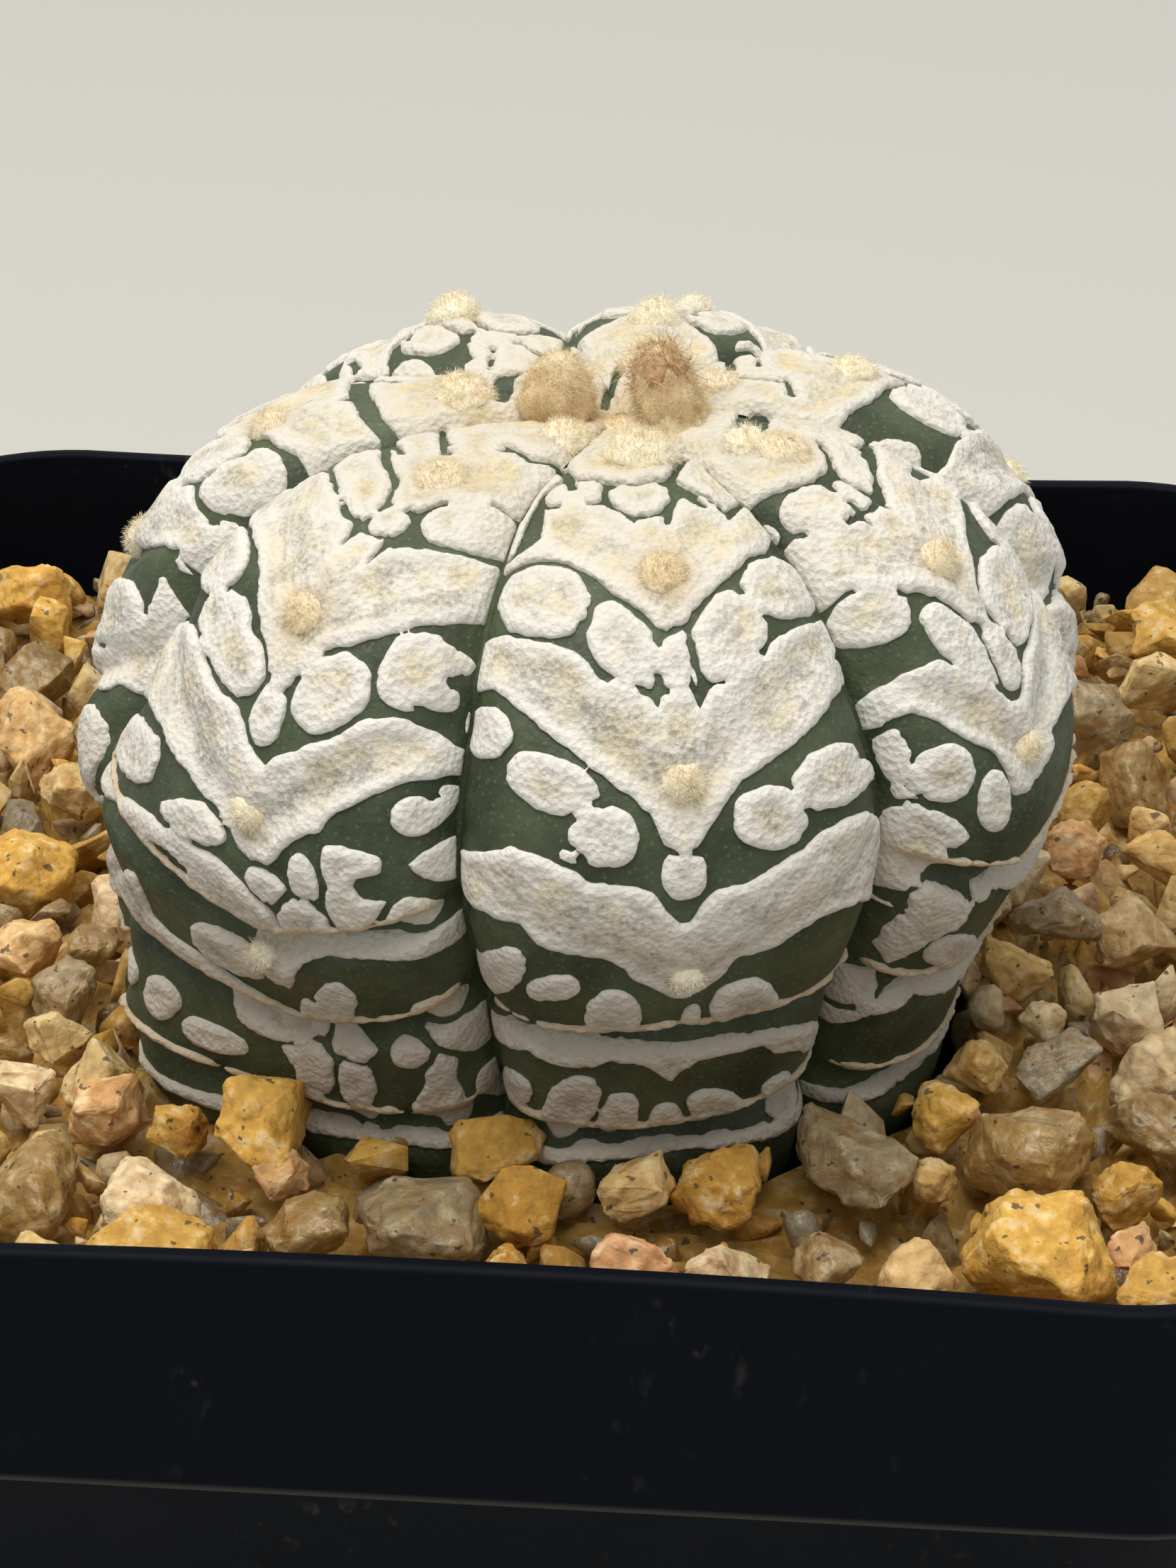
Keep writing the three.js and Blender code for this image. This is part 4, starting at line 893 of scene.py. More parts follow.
def make_felt(k):
    """A rib's felt: a fine grid cut off where the marks end, with a low wall down to the skin."""
    columns, rows = 110, 240
    u, s = np.meshgrid(np.linspace(-1, 1, columns), np.linspace(0.3, 54.3, rows), indexing="ij")
    d = felt_distance(k, u, u * rib_half_width(k, u, s), s)
    inside = d < 0
    u, s, d = u.ravel(), s.ravel(), d.ravel()
    corner = np.arange(columns * rows).reshape(columns, rows)
    corners = np.stack([corner[:-1, :-1], corner[:-1, 1:], corner[1:, 1:], corner[1:, :-1]],
                       axis=-1).reshape(-1, 4)
    held = inside.ravel()[corners].sum(axis=1)
    faces = corners[held == 4].tolist()
    cuts, walls = {}, []
    for cell in corners[(held > 0) & (held < 4)].tolist():
        polygon = []
        for a, b in zip(cell, cell[1:] + cell[:1]):
            if d[a] < 0:
                polygon.append(a)
            if (d[a] < 0) != (d[b] < 0):
                polygon.append(len(d) + cuts.setdefault((min(a, b), max(a, b)), len(cuts)))
        faces.append(polygon)
        walls += [(a, b) for a, b in zip(polygon, polygon[1:] + polygon[:1]) if a >= len(d) and b >= len(d)]
    one, other = np.array(list(cuts)).T
    share = d[one] / (d[one] - d[other])
    u, s = (np.r_[v, v[one] + (v[other] - v[one]) * share] for v in (u, s))
    d = np.r_[d, np.zeros(len(cuts))]
    x = u * rib_half_width(k, u, s)
    # Age grows down the crest. The material greys the lowest felt with it, partly age and partly painted shade
    age = 0.5 * smooth(8, 24, s) + 0.5 * smooth(28, 42, s)
    height = felt_height - 0.05 * smooth(22, 40, s) + 0.06 * value_noise(x * 0.9 + 11, s * 0.9 + 3, 61)
    height = height + 0.05 * value_noise(x * 2.4 + 5, s * 2.4 + 60, 62)
    height = height + 0.06 * np.exp(-((d + 0.4) / 0.25) ** 2)
    # Strands run out along the arms of each chevron
    over_arm = s + 0.8 * np.abs(x)
    strand = 0.6 * value_noise(over_arm * 2.6 + 17, x * 0.45 + 30, 63)
    strand = strand + 0.4 * value_noise(over_arm * 5 + 8, x * 0.8 + 5, 64)
    height = height + 0.06 * strand
    warm = np.zeros_like(s)
    for rib, cx, cs, radius, tall, tint in wool_tufts:
        if rib == k:
            near = np.exp(-((x - cx) ** 2 + (s - cs) ** 2) / (1.35 * radius) ** 2)
            height = height + 0.3 * tall * near
            warm = np.maximum(warm, near * (0.1 + 0.6 * tint))
    warm = np.maximum(warm, (1 - smooth(1.0, 4.5, s)) * 0.6)
    warm = np.maximum(warm, 0.8 * lip_height(k, u, s))
    # Where the crown's felt runs on over a groove, both ribs meet at one height
    height = height + (0.34 - height) * smooth(0.8, 1.0, np.abs(u)) * (s < joined_crown)
    lift = height * (0.55 + 0.45 * np.sqrt(1 - (1 - np.clip(-d / 0.3, 0, 1)) ** 2))
    foot = skin_points(k, u[-len(cuts):], s[-len(cuts):], -felt_root)
    faces += [[b, a, a + len(cuts), b + len(cuts)] for a, b in walls]
    points = np.concatenate([skin_points(k, u, s, lift), foot])
    values = {"warm": warm, "age": age, "inner": smooth(0.3, 1.1, -d), "strand": strand}
    values = {name: np.r_[value, value[-len(cuts):]] for name, value in values.items()}
    used = np.zeros(len(points), bool)
    used[[v for face in faces for v in face]] = True
    index = np.cumsum(used) - 1
    piece = mesh_piece(f"felt_rib_{k + 1}", points[used], [[int(index[v]) for v in face] for face in faces],
                       matted_felt)
    set_point_values(piece.data, **{name: value[used] for name, value in values.items()})
    return piece


for k in range(7):
    felt_piece = make_felt(k)
    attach(felt_piece, "root")
    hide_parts("cactus")


# Areole wool: soft pom-poms of tangled hairs that stand on each areole, cream to straw yellow at
# the crown and tan below it. Each is a small mound with hairs a third of a millimetre long.
def wool(name, pale, tan, deep):
    """Plant wool: matt curly hairs, pale at their tips, with deeper straw between them."""
    material, tree, place = start_material(name)
    warm = add_node(tree, "ShaderNodeAttribute", attribute_name="warm").outputs["Fac"]
    broad = add_node(tree, "ShaderNodeTexNoise",
                     {"Vector": place, "Scale": 900.0, "Detail": 4.0, "Roughness": 0.65})
    fine = add_node(tree, "ShaderNodeTexNoise",
                    {"Vector": place, "Scale": 4200.0, "Detail": 3.0, "Roughness": 0.7})
    colour = add_node(tree, "ShaderNodeMix", {0: warm, 6: linear(pale), 7: linear(tan)}, data_type="RGBA")
    shade = add_node(tree, "ShaderNodeMapRange", {0: broad.outputs[0], 1: 0.42, 2: 0.66, 3: 0.0, 4: 0.5})
    colour = add_node(tree, "ShaderNodeMix", {0: shade.outputs[0], 6: colour.outputs[2], 7: linear(deep)},
                      data_type="RGBA")
    bump = add_node(tree, "ShaderNodeBump", {"Height": fine.outputs[0], "Strength": 0.5, "Distance": 0.0002})
    finish_material(tree, {
        "Base Color": colour.outputs[2], "Roughness": 0.9, "Normal": bump.outputs[0],
        "Specular IOR Level": 0.15, "Sheen Weight": 0.2, "Sheen Roughness": 0.5,
        "Subsurface Weight": 0.15, "Subsurface Radius": (0.0008, 0.0006, 0.0004),
    })
    return material


def hair_strands(name, seed, count, segments, width, curl):
    """A hidden set of hairs one unit long: thin tapered blades, each curled its own way."""
    random = np.random.default_rng(seed)
    hairs = bpy.data.collections.new(name)
    for n in range(count):
        bend = random.uniform(-curl, curl, 2)
        twist = random.uniform(0, 2 * math.pi)
        points, faces = [], []
        for j in range(segments + 1):
            t = j / segments
            x = bend[0] * t * t + 0.12 * curl * math.sin(5 * t + twist)
            y = bend[1] * t * t + 0.12 * curl * math.cos(4 * t + twist)
            half = width / 2 * (1 - 0.75 * t)
            side = (math.cos(twist + t) * half, math.sin(twist + t) * half)
            points += [(x - side[0], y - side[1], t), (x + side[0], y + side[1], t)]
            if j:
                faces.append((2 * j - 2, 2 * j - 1, 2 * j + 1, 2 * j))
        mesh = bpy.data.meshes.new(f"{name}_{n}")
        mesh.from_pydata(points, [], faces)
        hairs.objects.link(bpy.data.objects.new(f"{name}_{n}", mesh))
    return hairs


def wool_tree(name):
    """Geometry Nodes: grows hairs all over a mound, at random lengths and leans, and keeps the mound."""
    tree = bpy.data.node_groups.new(name, "GeometryNodeTree")
    for title, kind in (("Mound", "NodeSocketGeometry"), ("Hairs", "NodeSocketCollection"),
                        ("Density", "NodeSocketFloat"),
                        ("Length", "NodeSocketFloat"), ("Lean", "NodeSocketFloat"), ("Seed", "NodeSocketInt"),
                        ("Material", "NodeSocketMaterial")):
        tree.interface.new_socket(title, in_out="INPUT", socket_type=kind)
    tree.interface.new_socket("Geometry", in_out="OUTPUT", socket_type="NodeSocketGeometry")
    given = add_node(tree, "NodeGroupInput").outputs
    roots = add_node(tree, "GeometryNodeDistributePointsOnFaces",
                     {"Mesh": given["Mound"], "Density": given["Density"], "Seed": given["Seed"]})
    hairs = add_node(tree, "GeometryNodeCollectionInfo",
                     {"Collection": given["Hairs"], "Separate Children": True, "Reset Children": True})
    back_lean = add_node(tree, "ShaderNodeMath", {0: given["Lean"], 1: -1.0}, operation="MULTIPLY")
    low = add_node(tree, "ShaderNodeCombineXYZ",
                   {0: back_lean.outputs[0], 1: back_lean.outputs[0], 2: -3.14159})
    high = add_node(tree, "ShaderNodeCombineXYZ", {0: given["Lean"], 1: given["Lean"], 2: 3.14159})
    lean = add_node(tree, "FunctionNodeRandomValue",
                    {"Min": low.outputs[0], "Max": high.outputs[0], "Seed": given["Seed"]},
                    data_type="FLOAT_VECTOR")
    pick = add_node(tree, "FunctionNodeRandomValue", {4: 0, 5: 199, "Seed": given["Seed"]}, data_type="INT")
    share = add_node(tree, "FunctionNodeRandomValue", {2: 0.55, 3: 1.25, "Seed": given["Seed"]},
                     data_type="FLOAT")
    length = add_node(tree, "ShaderNodeMath", {0: share.outputs[1], 1: given["Length"]}, operation="MULTIPLY")
    turned = add_node(tree, "FunctionNodeRotateRotation", {0: roots.outputs["Rotation"], 1: lean.outputs[0]},
                      rotation_space="LOCAL")
    grown = add_node(tree, "GeometryNodeInstanceOnPoints", {
        "Points": roots.outputs["Points"], "Instance": hairs.outputs[0], "Pick Instance": True,
        "Instance Index": pick.outputs[2], "Rotation": turned.outputs[0], "Scale": length.outputs[0],
    })
    joined = add_node(tree, "GeometryNodeJoinGeometry")
    tree.links.new(given["Mound"], joined.inputs[0])
    tree.links.new(grown.outputs[0], joined.inputs[0])
    real = add_node(tree, "GeometryNodeRealizeInstances", {"Geometry": joined.outputs[0]})
    coated = add_node(tree, "GeometryNodeSetMaterial",
                      {"Geometry": real.outputs[0], "Material": given["Material"]})
    add_node(tree, "NodeGroupOutput", {0: coated.outputs[0]})
    return tree


def set_inputs(modifier, values):
    """Sets a tree's named inputs by their sockets' identifiers."""
    for item in modifier.node_group.interface.items_tree:
        if item.in_out == "INPUT" and item.name in values:
            modifier[item.identifier] = values[item.name]


def dome(centre, axis, radius, height, seed, rows=12, columns=28, wide=1.0):
    """Points and faces of a lumpy mound on a plane through centre, closed below."""
    axis = np.array(axis) / np.linalg.norm(axis)
    side = np.cross(axis, [0.0, 0.0, 1.0] if abs(axis[2]) < 0.9 else [0.0, 1.0, 0.0])
    side /= np.linalg.norm(side)
    other = np.cross(axis, side)
    points = []
    for j in range(rows):
        t = j / (rows - 1) * math.pi / 2 * 0.97
        for i in range(columns):
            a = 2 * math.pi * i / columns
            lump = 1 + 0.16 * noise.noise(Vector((2 * math.cos(a) + seed, 2 * math.sin(a), 3 * t)))
            lump += 0.1 * noise.noise(Vector((6 * math.cos(a) + seed, 6 * math.sin(a), 8 * t)))
            out, up = radius * math.cos(t) * lump, height * math.sin(t) * lump - 0.25 * (j == 0)
            points.append(centre + out * (math.cos(a) * side * wide + math.sin(a) * other) + up * axis)
    faces = [(*f[:4],) for f in stacked_faces(rows, columns)]
    top, foot = len(points), len(points) + 1
    points.append(centre + height * axis)
    points.append(centre - 0.3 * axis)
    for i in range(columns):
        n = (i + 1) % columns
        faces.append((top, (rows - 1) * columns + i, (rows - 1) * columns + n))
        faces.append((foot, n, i))
    return points, faces


areole_wool = wool("areole wool", "#f7f1dc", "#e0c9a0", "#e6d198")
short_hairs = hair_strands("short_hairs", 71, 8, 2, 0.12, 0.6)
hair_growth = wool_tree("growing_hairs")


def make_wool():
    points, faces, warmth = [], [], []
    for n, (k, across, down, radius, height, warm) in enumerate(wool_tufts):
        half = max(float(rib_half_width(k, 1.0, down)), 0.5)
        eps = 0.1
        steps = ((0, 0), (eps, 0), (0, eps))
        here, right, below = (skin_points(k, (across + a) / half, down + b) for a, b in steps)
        axis = np.cross(below - here, right - here)
        mound, skin_faces = dome(here + 0.15 * axis / np.linalg.norm(axis), axis, 0.9 * radius, height, n * 1.7)
        faces += [tuple(len(points) + v for v in f) for f in skin_faces]
        points += mound
        heights = (np.array(mound) - here) @ (axis / np.linalg.norm(axis)) / height
        warmth += (warm * np.clip(0.25 + 0.75 * heights, 0, 1)).tolist()
    piece = mesh_piece("areole_wool", points, faces, areole_wool)
    set_point_values(piece.data, warm=warmth)
    growth = piece.modifiers.new("hairs", "NODES")
    growth.node_group = hair_growth
    set_inputs(growth, {"Hairs": short_hairs, "Density": 7.0e7, "Length": 0.00032, "Lean": 0.6, "Seed": 3,
                        "Material": areole_wool})
    return bake_modifiers(piece)


areole_tufts = make_wool()
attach(areole_tufts, "root")
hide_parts("cactus")


# Dried buds: two spent flower buds stand by the growing point, each a shrivelled ovoid wrapped in
# curled tan wool. The right one keeps a brush of rusty bristles and a flared papery skirt.
bud_wool = wool("dried bud wool", "#f3e7c6", "#d8bc88", "#c09a5c")
rusty_bristle = wool("rusty dried bristle", "#dcbc90", "#bd9262", "#a27646")
long_hairs = hair_strands("curled_hairs", 72, 8, 4, 0.07, 0.9)
stiff_bristles = hair_strands("bristles", 73, 6, 6, 0.07, 1.3)


def make_bud(name, foot, tip, radius, skirt, seed):
    foot, tip = (np.array([*plant_axis, pot_height]) + np.array(p) for p in (foot, tip))
    axis = (tip - foot) / np.linalg.norm(tip - foot)
    side = np.cross(axis, [0, 1.0, 0])
    side /= np.linalg.norm(side)
    other = np.cross(axis, side)
    rows, columns = 22, 30
    points = []
    length = np.linalg.norm(tip - foot)
    for j in range(rows):
        t = j / (rows - 1)
        swell = math.sin(math.pi * (0.14 + 0.8 * t)) ** 0.6
        for i in range(columns):
            a = 2 * math.pi * i / columns
            fold = 0.1 * math.sin(5 * a + 3 * t + seed) + 0.06 * math.sin(9 * a - 5 * t)
            lump = noise.noise(Vector((2 * math.cos(a) + seed, 2 * math.sin(a), 4 * t)))
            out = radius * swell * (1 + fold * (1 - t) + 0.16 * lump)
            points.append(foot + axis * length * t + out * (math.cos(a) * side + math.sin(a) * other))
    faces = stacked_faces(rows, columns)
    points += [foot - 0.2 * axis, tip + 0.15 * axis]
    for i in range(columns):
        n = (i + 1) % columns
        faces += [(len(points) - 2, n, i),
                  (len(points) - 1, (rows - 1) * columns + i, (rows - 1) * columns + n)]
    first = len(points)
    if skirt:
        # Papery remains of the flower tube, open to the left and flared to the right
        around, deep = 40, 8
        for layer in (0.0, 0.16):
            for j in range(deep):
                t = j / (deep - 1)
                for i in range(around):
                    a = math.radians(-150 + 300 * i / (around - 1)) + skirt
                    frill = 0.18 * math.sin(7 * a) * t + 0.12 * math.sin(13 * a + 2) * t
                    out = radius * (0.82 + 0.75 * t ** 1.4 + frill * 0.5) - layer
                    up = length * (0.52 - 0.5 * t) + 0.3 * frill
                    points.append(foot + axis * up + out
                                  * (math.cos(a) * np.array([1, 0, 0]) + math.sin(a) * np.array([0, 1, 0])))
        sheet = around * deep
        for j in range(deep - 1):
            for i in range(around - 1):
                a, b, c, d = (first + j * around + i, first + j * around + i + 1,
                              first + (j + 1) * around + i + 1, first + (j + 1) * around + i)
                faces += [(d, c, b, a), (a + sheet, b + sheet, c + sheet, d + sheet)]
        for i in range(around - 1):
            low, high = first + (deep - 1) * around + i, first + i
            faces += [(low, low + sheet, low + sheet + 1, low + 1),
                      (high, high + 1, high + sheet + 1, high + sheet)]
        for j in range(deep - 1):
            a, b = first + j * around, first + j * around + around - 1
            faces += [(a, a + sheet, a + around + sheet, a + around),
                      (b, b + around, b + around + sheet, b + sheet)]
    warmth = []
    for n in range(len(points)):
        t = np.dot(points[n] - foot, axis) / length
        warmth.append(float(np.clip(0.85 - 0.6 * t, 0.1, 1.0)) if n < first else 0.15)
    piece = mesh_piece(name, points, faces, bud_wool)
    set_point_values(piece.data, warm=warmth)
    growth = piece.modifiers.new("hairs", "NODES")
    growth.node_group = hair_growth
    set_inputs(growth, {"Hairs": long_hairs, "Density": 7.6e7, "Length": 0.00045, "Lean": 0.9, "Seed": seed,
                        "Material": bud_wool})
    bake_modifiers(piece)
    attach(piece, "root")
    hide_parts(name)
    return tip, axis


make_bud("dried_bud_left", (-1.8, -0.2, 24.6), (-1.5, 0.2, 28.8), 1.75, 0, 5)
right_tip, right_axis = make_bud("dried_bud_right", (4.6, -1.1, 24.9), (3.0, 0.3, 29.4), 1.55, -0.3, 8)


def make_bristles():
    """Rusty dried bristles that curl over the top of the right bud."""
    points, faces = dome(right_tip - 1.5 * right_axis, right_axis, 1.35, 1.5, 4.2)
    piece = mesh_piece("bud_bristles", points, faces, rusty_bristle)
    set_point_values(piece.data, warm=np.full(len(points), 0.4))
    growth = piece.modifiers.new("bristles", "NODES")
    growth.node_group = hair_growth
    set_inputs(growth, {"Hairs": stiff_bristles, "Density": 2.0e7, "Length": 0.0009, "Lean": 0.9, "Seed": 12,
                        "Material": rusty_bristle})
    return bake_modifiers(piece)


bristles = make_bristles()
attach(bristles, "root")
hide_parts("dried_bud_right")


# Gravel: loose top dressing of decomposed granite, 2 to 8 mm. Ochre and yellow crumbly feldspar,
# pinkish grains, clear grey quartz and dark mica lie on a bed of finer grit.
bed_top = 75.9
collar_radius = 20.0


def bed_height(x, y):
    """Mean height of the stones: up by 2 mm to the back, heaped round the plant."""
    from_plant = np.hypot(x - plant_axis[0], y - plant_axis[1]) - collar_radius
    return bed_top + (2.3 + 1.0 * x / rim_half) * smooth(-12, 32, y) + 2.8 * np.exp(-(from_plant / 7.0) ** 2)


def granite(name):
    """Decomposed granite: each stone has a mineral of its own, from honey feldspar to smoky quartz,
    with rust stains, chalky grains about a millimetre wide and small specks of mica, and painted shade
    between its grains and in its hollows."""
    material, tree, place = start_material(name)
    mineral = add_node(tree, "ShaderNodeAttribute", attribute_name="mineral").outputs["Fac"]
    shade = add_node(tree, "ShaderNodeAttribute", attribute_name="shade").outputs["Fac"]
    stain = add_node(tree, "ShaderNodeTexNoise",
                     {"Vector": place, "Scale": 300.0, "Detail": 6.0, "Roughness": 0.7}).outputs[0]
    grain = add_node(tree, "ShaderNodeTexNoise",
                     {"Vector": place, "Scale": 900.0, "Detail": 4.0, "Roughness": 0.6}).outputs[0]
    speck = add_node(tree, "ShaderNodeTexNoise",
                     {"Vector": place, "Scale": 1500.0, "Detail": 2.0, "Roughness": 0.5}).outputs[0]
    pits = add_node(tree, "ShaderNodeTexVoronoi",
                    {"Vector": place, "Scale": 1300.0, "Randomness": 1.0}).outputs["Distance"]
    # Feldspar from honey yellow through mustard and cream to rust pink, by stone
    steps = ((0.0, "#dcae50"), (0.16, "#c4943a"), (0.3, "#e6c98a"), (0.49, "#dda273"), (0.56, "#e2cda4"))
    colour = linear(steps[0][1])
    for at, tint in steps[1:]:
        share = add_node(tree, "ShaderNodeMapRange",
                         {0: mineral, 1: at - 0.04, 2: at + 0.04, 3: 0.0, 4: 1.0}).outputs[0]
        colour = add_node(tree, "ShaderNodeMix", {0: share, 6: colour, 7: linear(tint)},
                          data_type="RGBA").outputs[2]
    # Quartz: the stones above 0.7, honey to smoke, deeper where they are thick
    quartz = add_node(tree, "ShaderNodeMapRange", {0: mineral, 1: 0.69, 2: 0.73, 3: 0.0, 4: 1.0}).outputs[0]
    smoke = add_node(tree, "ShaderNodeMapRange", {0: mineral, 1: 0.8, 2: 0.95, 3: 0.0, 4: 1.0}).outputs[0]
    clear = add_node(tree, "ShaderNodeMix", {0: smoke, 6: linear("#c4a468"), 7: linear("#b8ae94")},
                     data_type="RGBA").outputs[2]
    colour = add_node(tree, "ShaderNodeMix", {0: quartz, 6: colour, 7: clear}, data_type="RGBA").outputs[2]
    rusty = add_node(tree, "ShaderNodeMapRange", {0: stain, 1: 0.52, 2: 0.68, 3: 0.0, 4: 0.65}).outputs[0]
    colour = add_node(tree, "ShaderNodeMix", {0: rusty, 6: colour, 7: linear("#b87a26")},
                      data_type="RGBA").outputs[2]
    chalky = add_node(tree, "ShaderNodeMapRange", {0: grain, 1: 0.53, 2: 0.66, 3: 0.0, 4: 0.6}).outputs[0]
    colour = add_node(tree, "ShaderNodeMix", {0: chalky, 6: colour, 7: linear("#efdfb4")},
                      data_type="RGBA").outputs[2]
    # Painted shade: the borders between grains are darkened to deep amber
    between = add_node(tree, "ShaderNodeMapRange", {0: pits, 1: 0.4, 2: 0.7, 3: 0.0, 4: 0.3}).outputs[0]
    colour = add_node(tree, "ShaderNodeMix", {0: between, 6: colour, 7: linear("#b98435")},
                      data_type="RGBA").outputs[2]
    mica = add_node(tree, "ShaderNodeMapRange", {0: speck, 1: 0.67, 2: 0.7, 3: 0.0, 4: 0.8}).outputs[0]
    colour = add_node(tree, "ShaderNodeMix", {0: mica, 6: colour, 7: linear("#4a4030")},
                      data_type="RGBA").outputs[2]
    # Each stone's shade value sets its brightness: a random tone, and painted shade for the grit bed and the
    # deeper layers
    value = add_node(tree, "ShaderNodeMapRange", {0: shade, 1: 0.0, 2: 1.0, 3: 0.5, 4: 1.1}).outputs[0]
    # Painted shade: low places in the grain noise darken the stone
    painted_hollow_shade = add_node(tree, "ShaderNodeMapRange", {0: grain, 1: 0.3, 2: 0.55, 3: 0.75, 4: 1.05}).outputs[0]
    value = add_node(tree, "ShaderNodeMath", {0: value, 1: painted_hollow_shade}, operation="MULTIPLY").outputs[0]
    colour = add_node(tree, "ShaderNodeHueSaturation", {"Value": value, "Color": colour}).outputs[0]
    rough = add_node(tree, "ShaderNodeMapRange", {0: quartz, 1: 0.0, 2: 1.0, 3: 0.8, 4: 0.3}).outputs[0]
    glass = add_node(tree, "ShaderNodeMath", {0: quartz, 1: 0.35}, operation="MULTIPLY").outputs[0]
    relief = add_node(tree, "ShaderNodeMath", {0: pits, 1: -0.6, 2: grain}, operation="MULTIPLY_ADD").outputs[0]
    bump = add_node(tree, "ShaderNodeBump", {"Height": relief, "Strength": 0.6, "Distance": 0.0004})
    finish_material(tree, {
        "Base Color": colour, "Roughness": rough, "Normal": bump.outputs[0],
        "Subsurface Weight": 0.4, "Subsurface Radius": (0.003, 0.0019, 0.0009), "Transmission Weight": glass,
    })
    return material


granite_grit = granite("decomposed granite")


def make_grit_bed():
    """Fine grit under and between the stones: a ring of crumbly ground from the plant to the wall."""
    random = np.random.default_rng(11)
    inner = 19.6
    steps = 46
    below_stones = 3.0
    count = len(square_ring(40, 10, 0))
    wall_ring = np.array(square_ring(rim_half - wall - 0.9, rim_corner - 2, 0.0))[:, :2]
    away = wall_ring - plant_axis
    plant_ring = plant_axis + inner * away / np.linalg.norm(away, axis=1)[:, None]
    rings = []
    for k in range(steps + 1):
        across = plant_ring + (wall_ring - plant_ring) * k / steps
        height = bed_height(across[:, 0], across[:, 1]) - below_stones + random.normal(0, 0.35, count)
        rings.append(np.column_stack([across, height]))
    low = 70.4
    under_wall = np.array(square_ring(step_half - wall - 0.5, rim_corner - 2, low))
    under_plant = np.column_stack([plant_ring, np.full(count, low)])
    rings += [np.column_stack([under_wall[:, :2], np.full(count, band_bottom + wall + 0.6)]), under_wall,
              under_plant]
    points = np.concatenate(rings[::-1])
    faces = stacked_faces(len(rings), count)
    last = (len(rings) - 1) * count
    for i in range(count):
        n = (i + 1) % count
        faces.append((last + i, last + n, n, i))
    bed = mesh_piece("fine_grit", points, faces, granite_grit)
    # Low shade values: painted shade, so the grit reads dark in the gaps between the stones
    set_point_values(bed.data, mineral=0.3 * random.random(len(points)), shade=0.2 * random.random(len(points)))
    return bed


grit_bed = make_grit_bed()
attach(grit_bed, "root")
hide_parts("gravel_top_dressing")

# Stones that show in front of and beside the plant: x, y, width, mineral. Minerals run from
# yellow 0.05 and mustard 0.2 through cream 0.36, pink 0.5 and pale 0.65 to quartz 0.75 to 1.
seen_stones = [
    (-8.6, -23.6, 7.8, 0.05), (-17.0, -16.4, 5.6, 0.42), (-18.3, -20.8, 5.6, 0.5), (-20.2, -28.0, 7.6, 0.8),
    (-15.0, -28.4, 6.0, 0.62), (-13.8, -33.5, 7.0, 0.12), (-6.1, -31.3, 5.8, 0.76), (-0.9, -30.4, 7.2, 0.9),
    (-24.0, -17.6, 5.0, 0.64), (-23.0, -10.0, 5.0, 0.85), (-22.6, -5.3, 4.0, 0.8), (-26.5, -5.0, 5.2, 0.48),
    (-27.5, 3.0, 6.8, 0.1), (-22.3, -14.0, 3.8, 0.36), (-8.5, -27.2, 3.6, 0.5), (-9.6, -33.8, 3.4, 0.5),
    (-14.2, -23.2, 3.6, 0.15), (-19.0, -33.4, 4.4, 0.44), (19.8, -24.2, 7.4, 0.88), (28.0, -21.8, 8.2, 0.74),
    (28.6, -29.2, 8.8, 0.08), (13.7, -27.5, 5.6, 0.22), (8.8, -27.8, 4.4, 0.36), (9.4, -33.2, 5.2, 0.52),
    (14.6, -33.0, 4.9, 0.64), (18.6, -31.2, 4.4, 0.86), (23.2, -31.0, 5.4, 0.47), (27.1, -35.5, 5.2, 0.65),
    (29.3, -14.6, 5.2, 0.92), (25.2, -15.8, 4.0, 0.3), (23.9, -20.2, 4.4, 0.12), (34.3, -12.5, 5.6, 0.7),
    (34.3, -17.9, 5.8, 0.82), (33.2, -7.6, 5.0, 0.64), (27.4, -6.0, 4.6, 0.3), (29.2, -0.6, 5.2, 0.9),
    (33.6, 0.6, 5.6, 0.72), (29.8, 7.4, 4.8, 0.5), (34.5, 8.0, 4.6, 0.3), (28.8, -10.4, 3.2, 0.64),
    (33.0, -23.4, 4.2, 0.16), (33.5, -27.8, 3.2, 0.5), (36.9, -24.0, 4.2, 0.3), (34.8, -31.5, 5.2, 0.1),
    (32.0, -36.0, 5.0, 0.2), (23.2, -24.8, 3.4, 0.3), (-34.4, 36.0, 6.4, 0.12), (-31.5, 18.0, 7.0, 0.48),
    (-27.0, 12.5, 4.6, 0.36), (3.2, -34.0, 4.2, 0.2), (-2.6, -35.4, 3.6, 0.42), (-24.5, -23.4, 4.8, 0.3),
    (-25.2, -33.2, 5.6, 0.2), (22.4, -36.0, 4.4, 0.36), (18.0, -36.4, 4.0, 0.1), (5.6, -36.6, 3.8, 0.62),
]


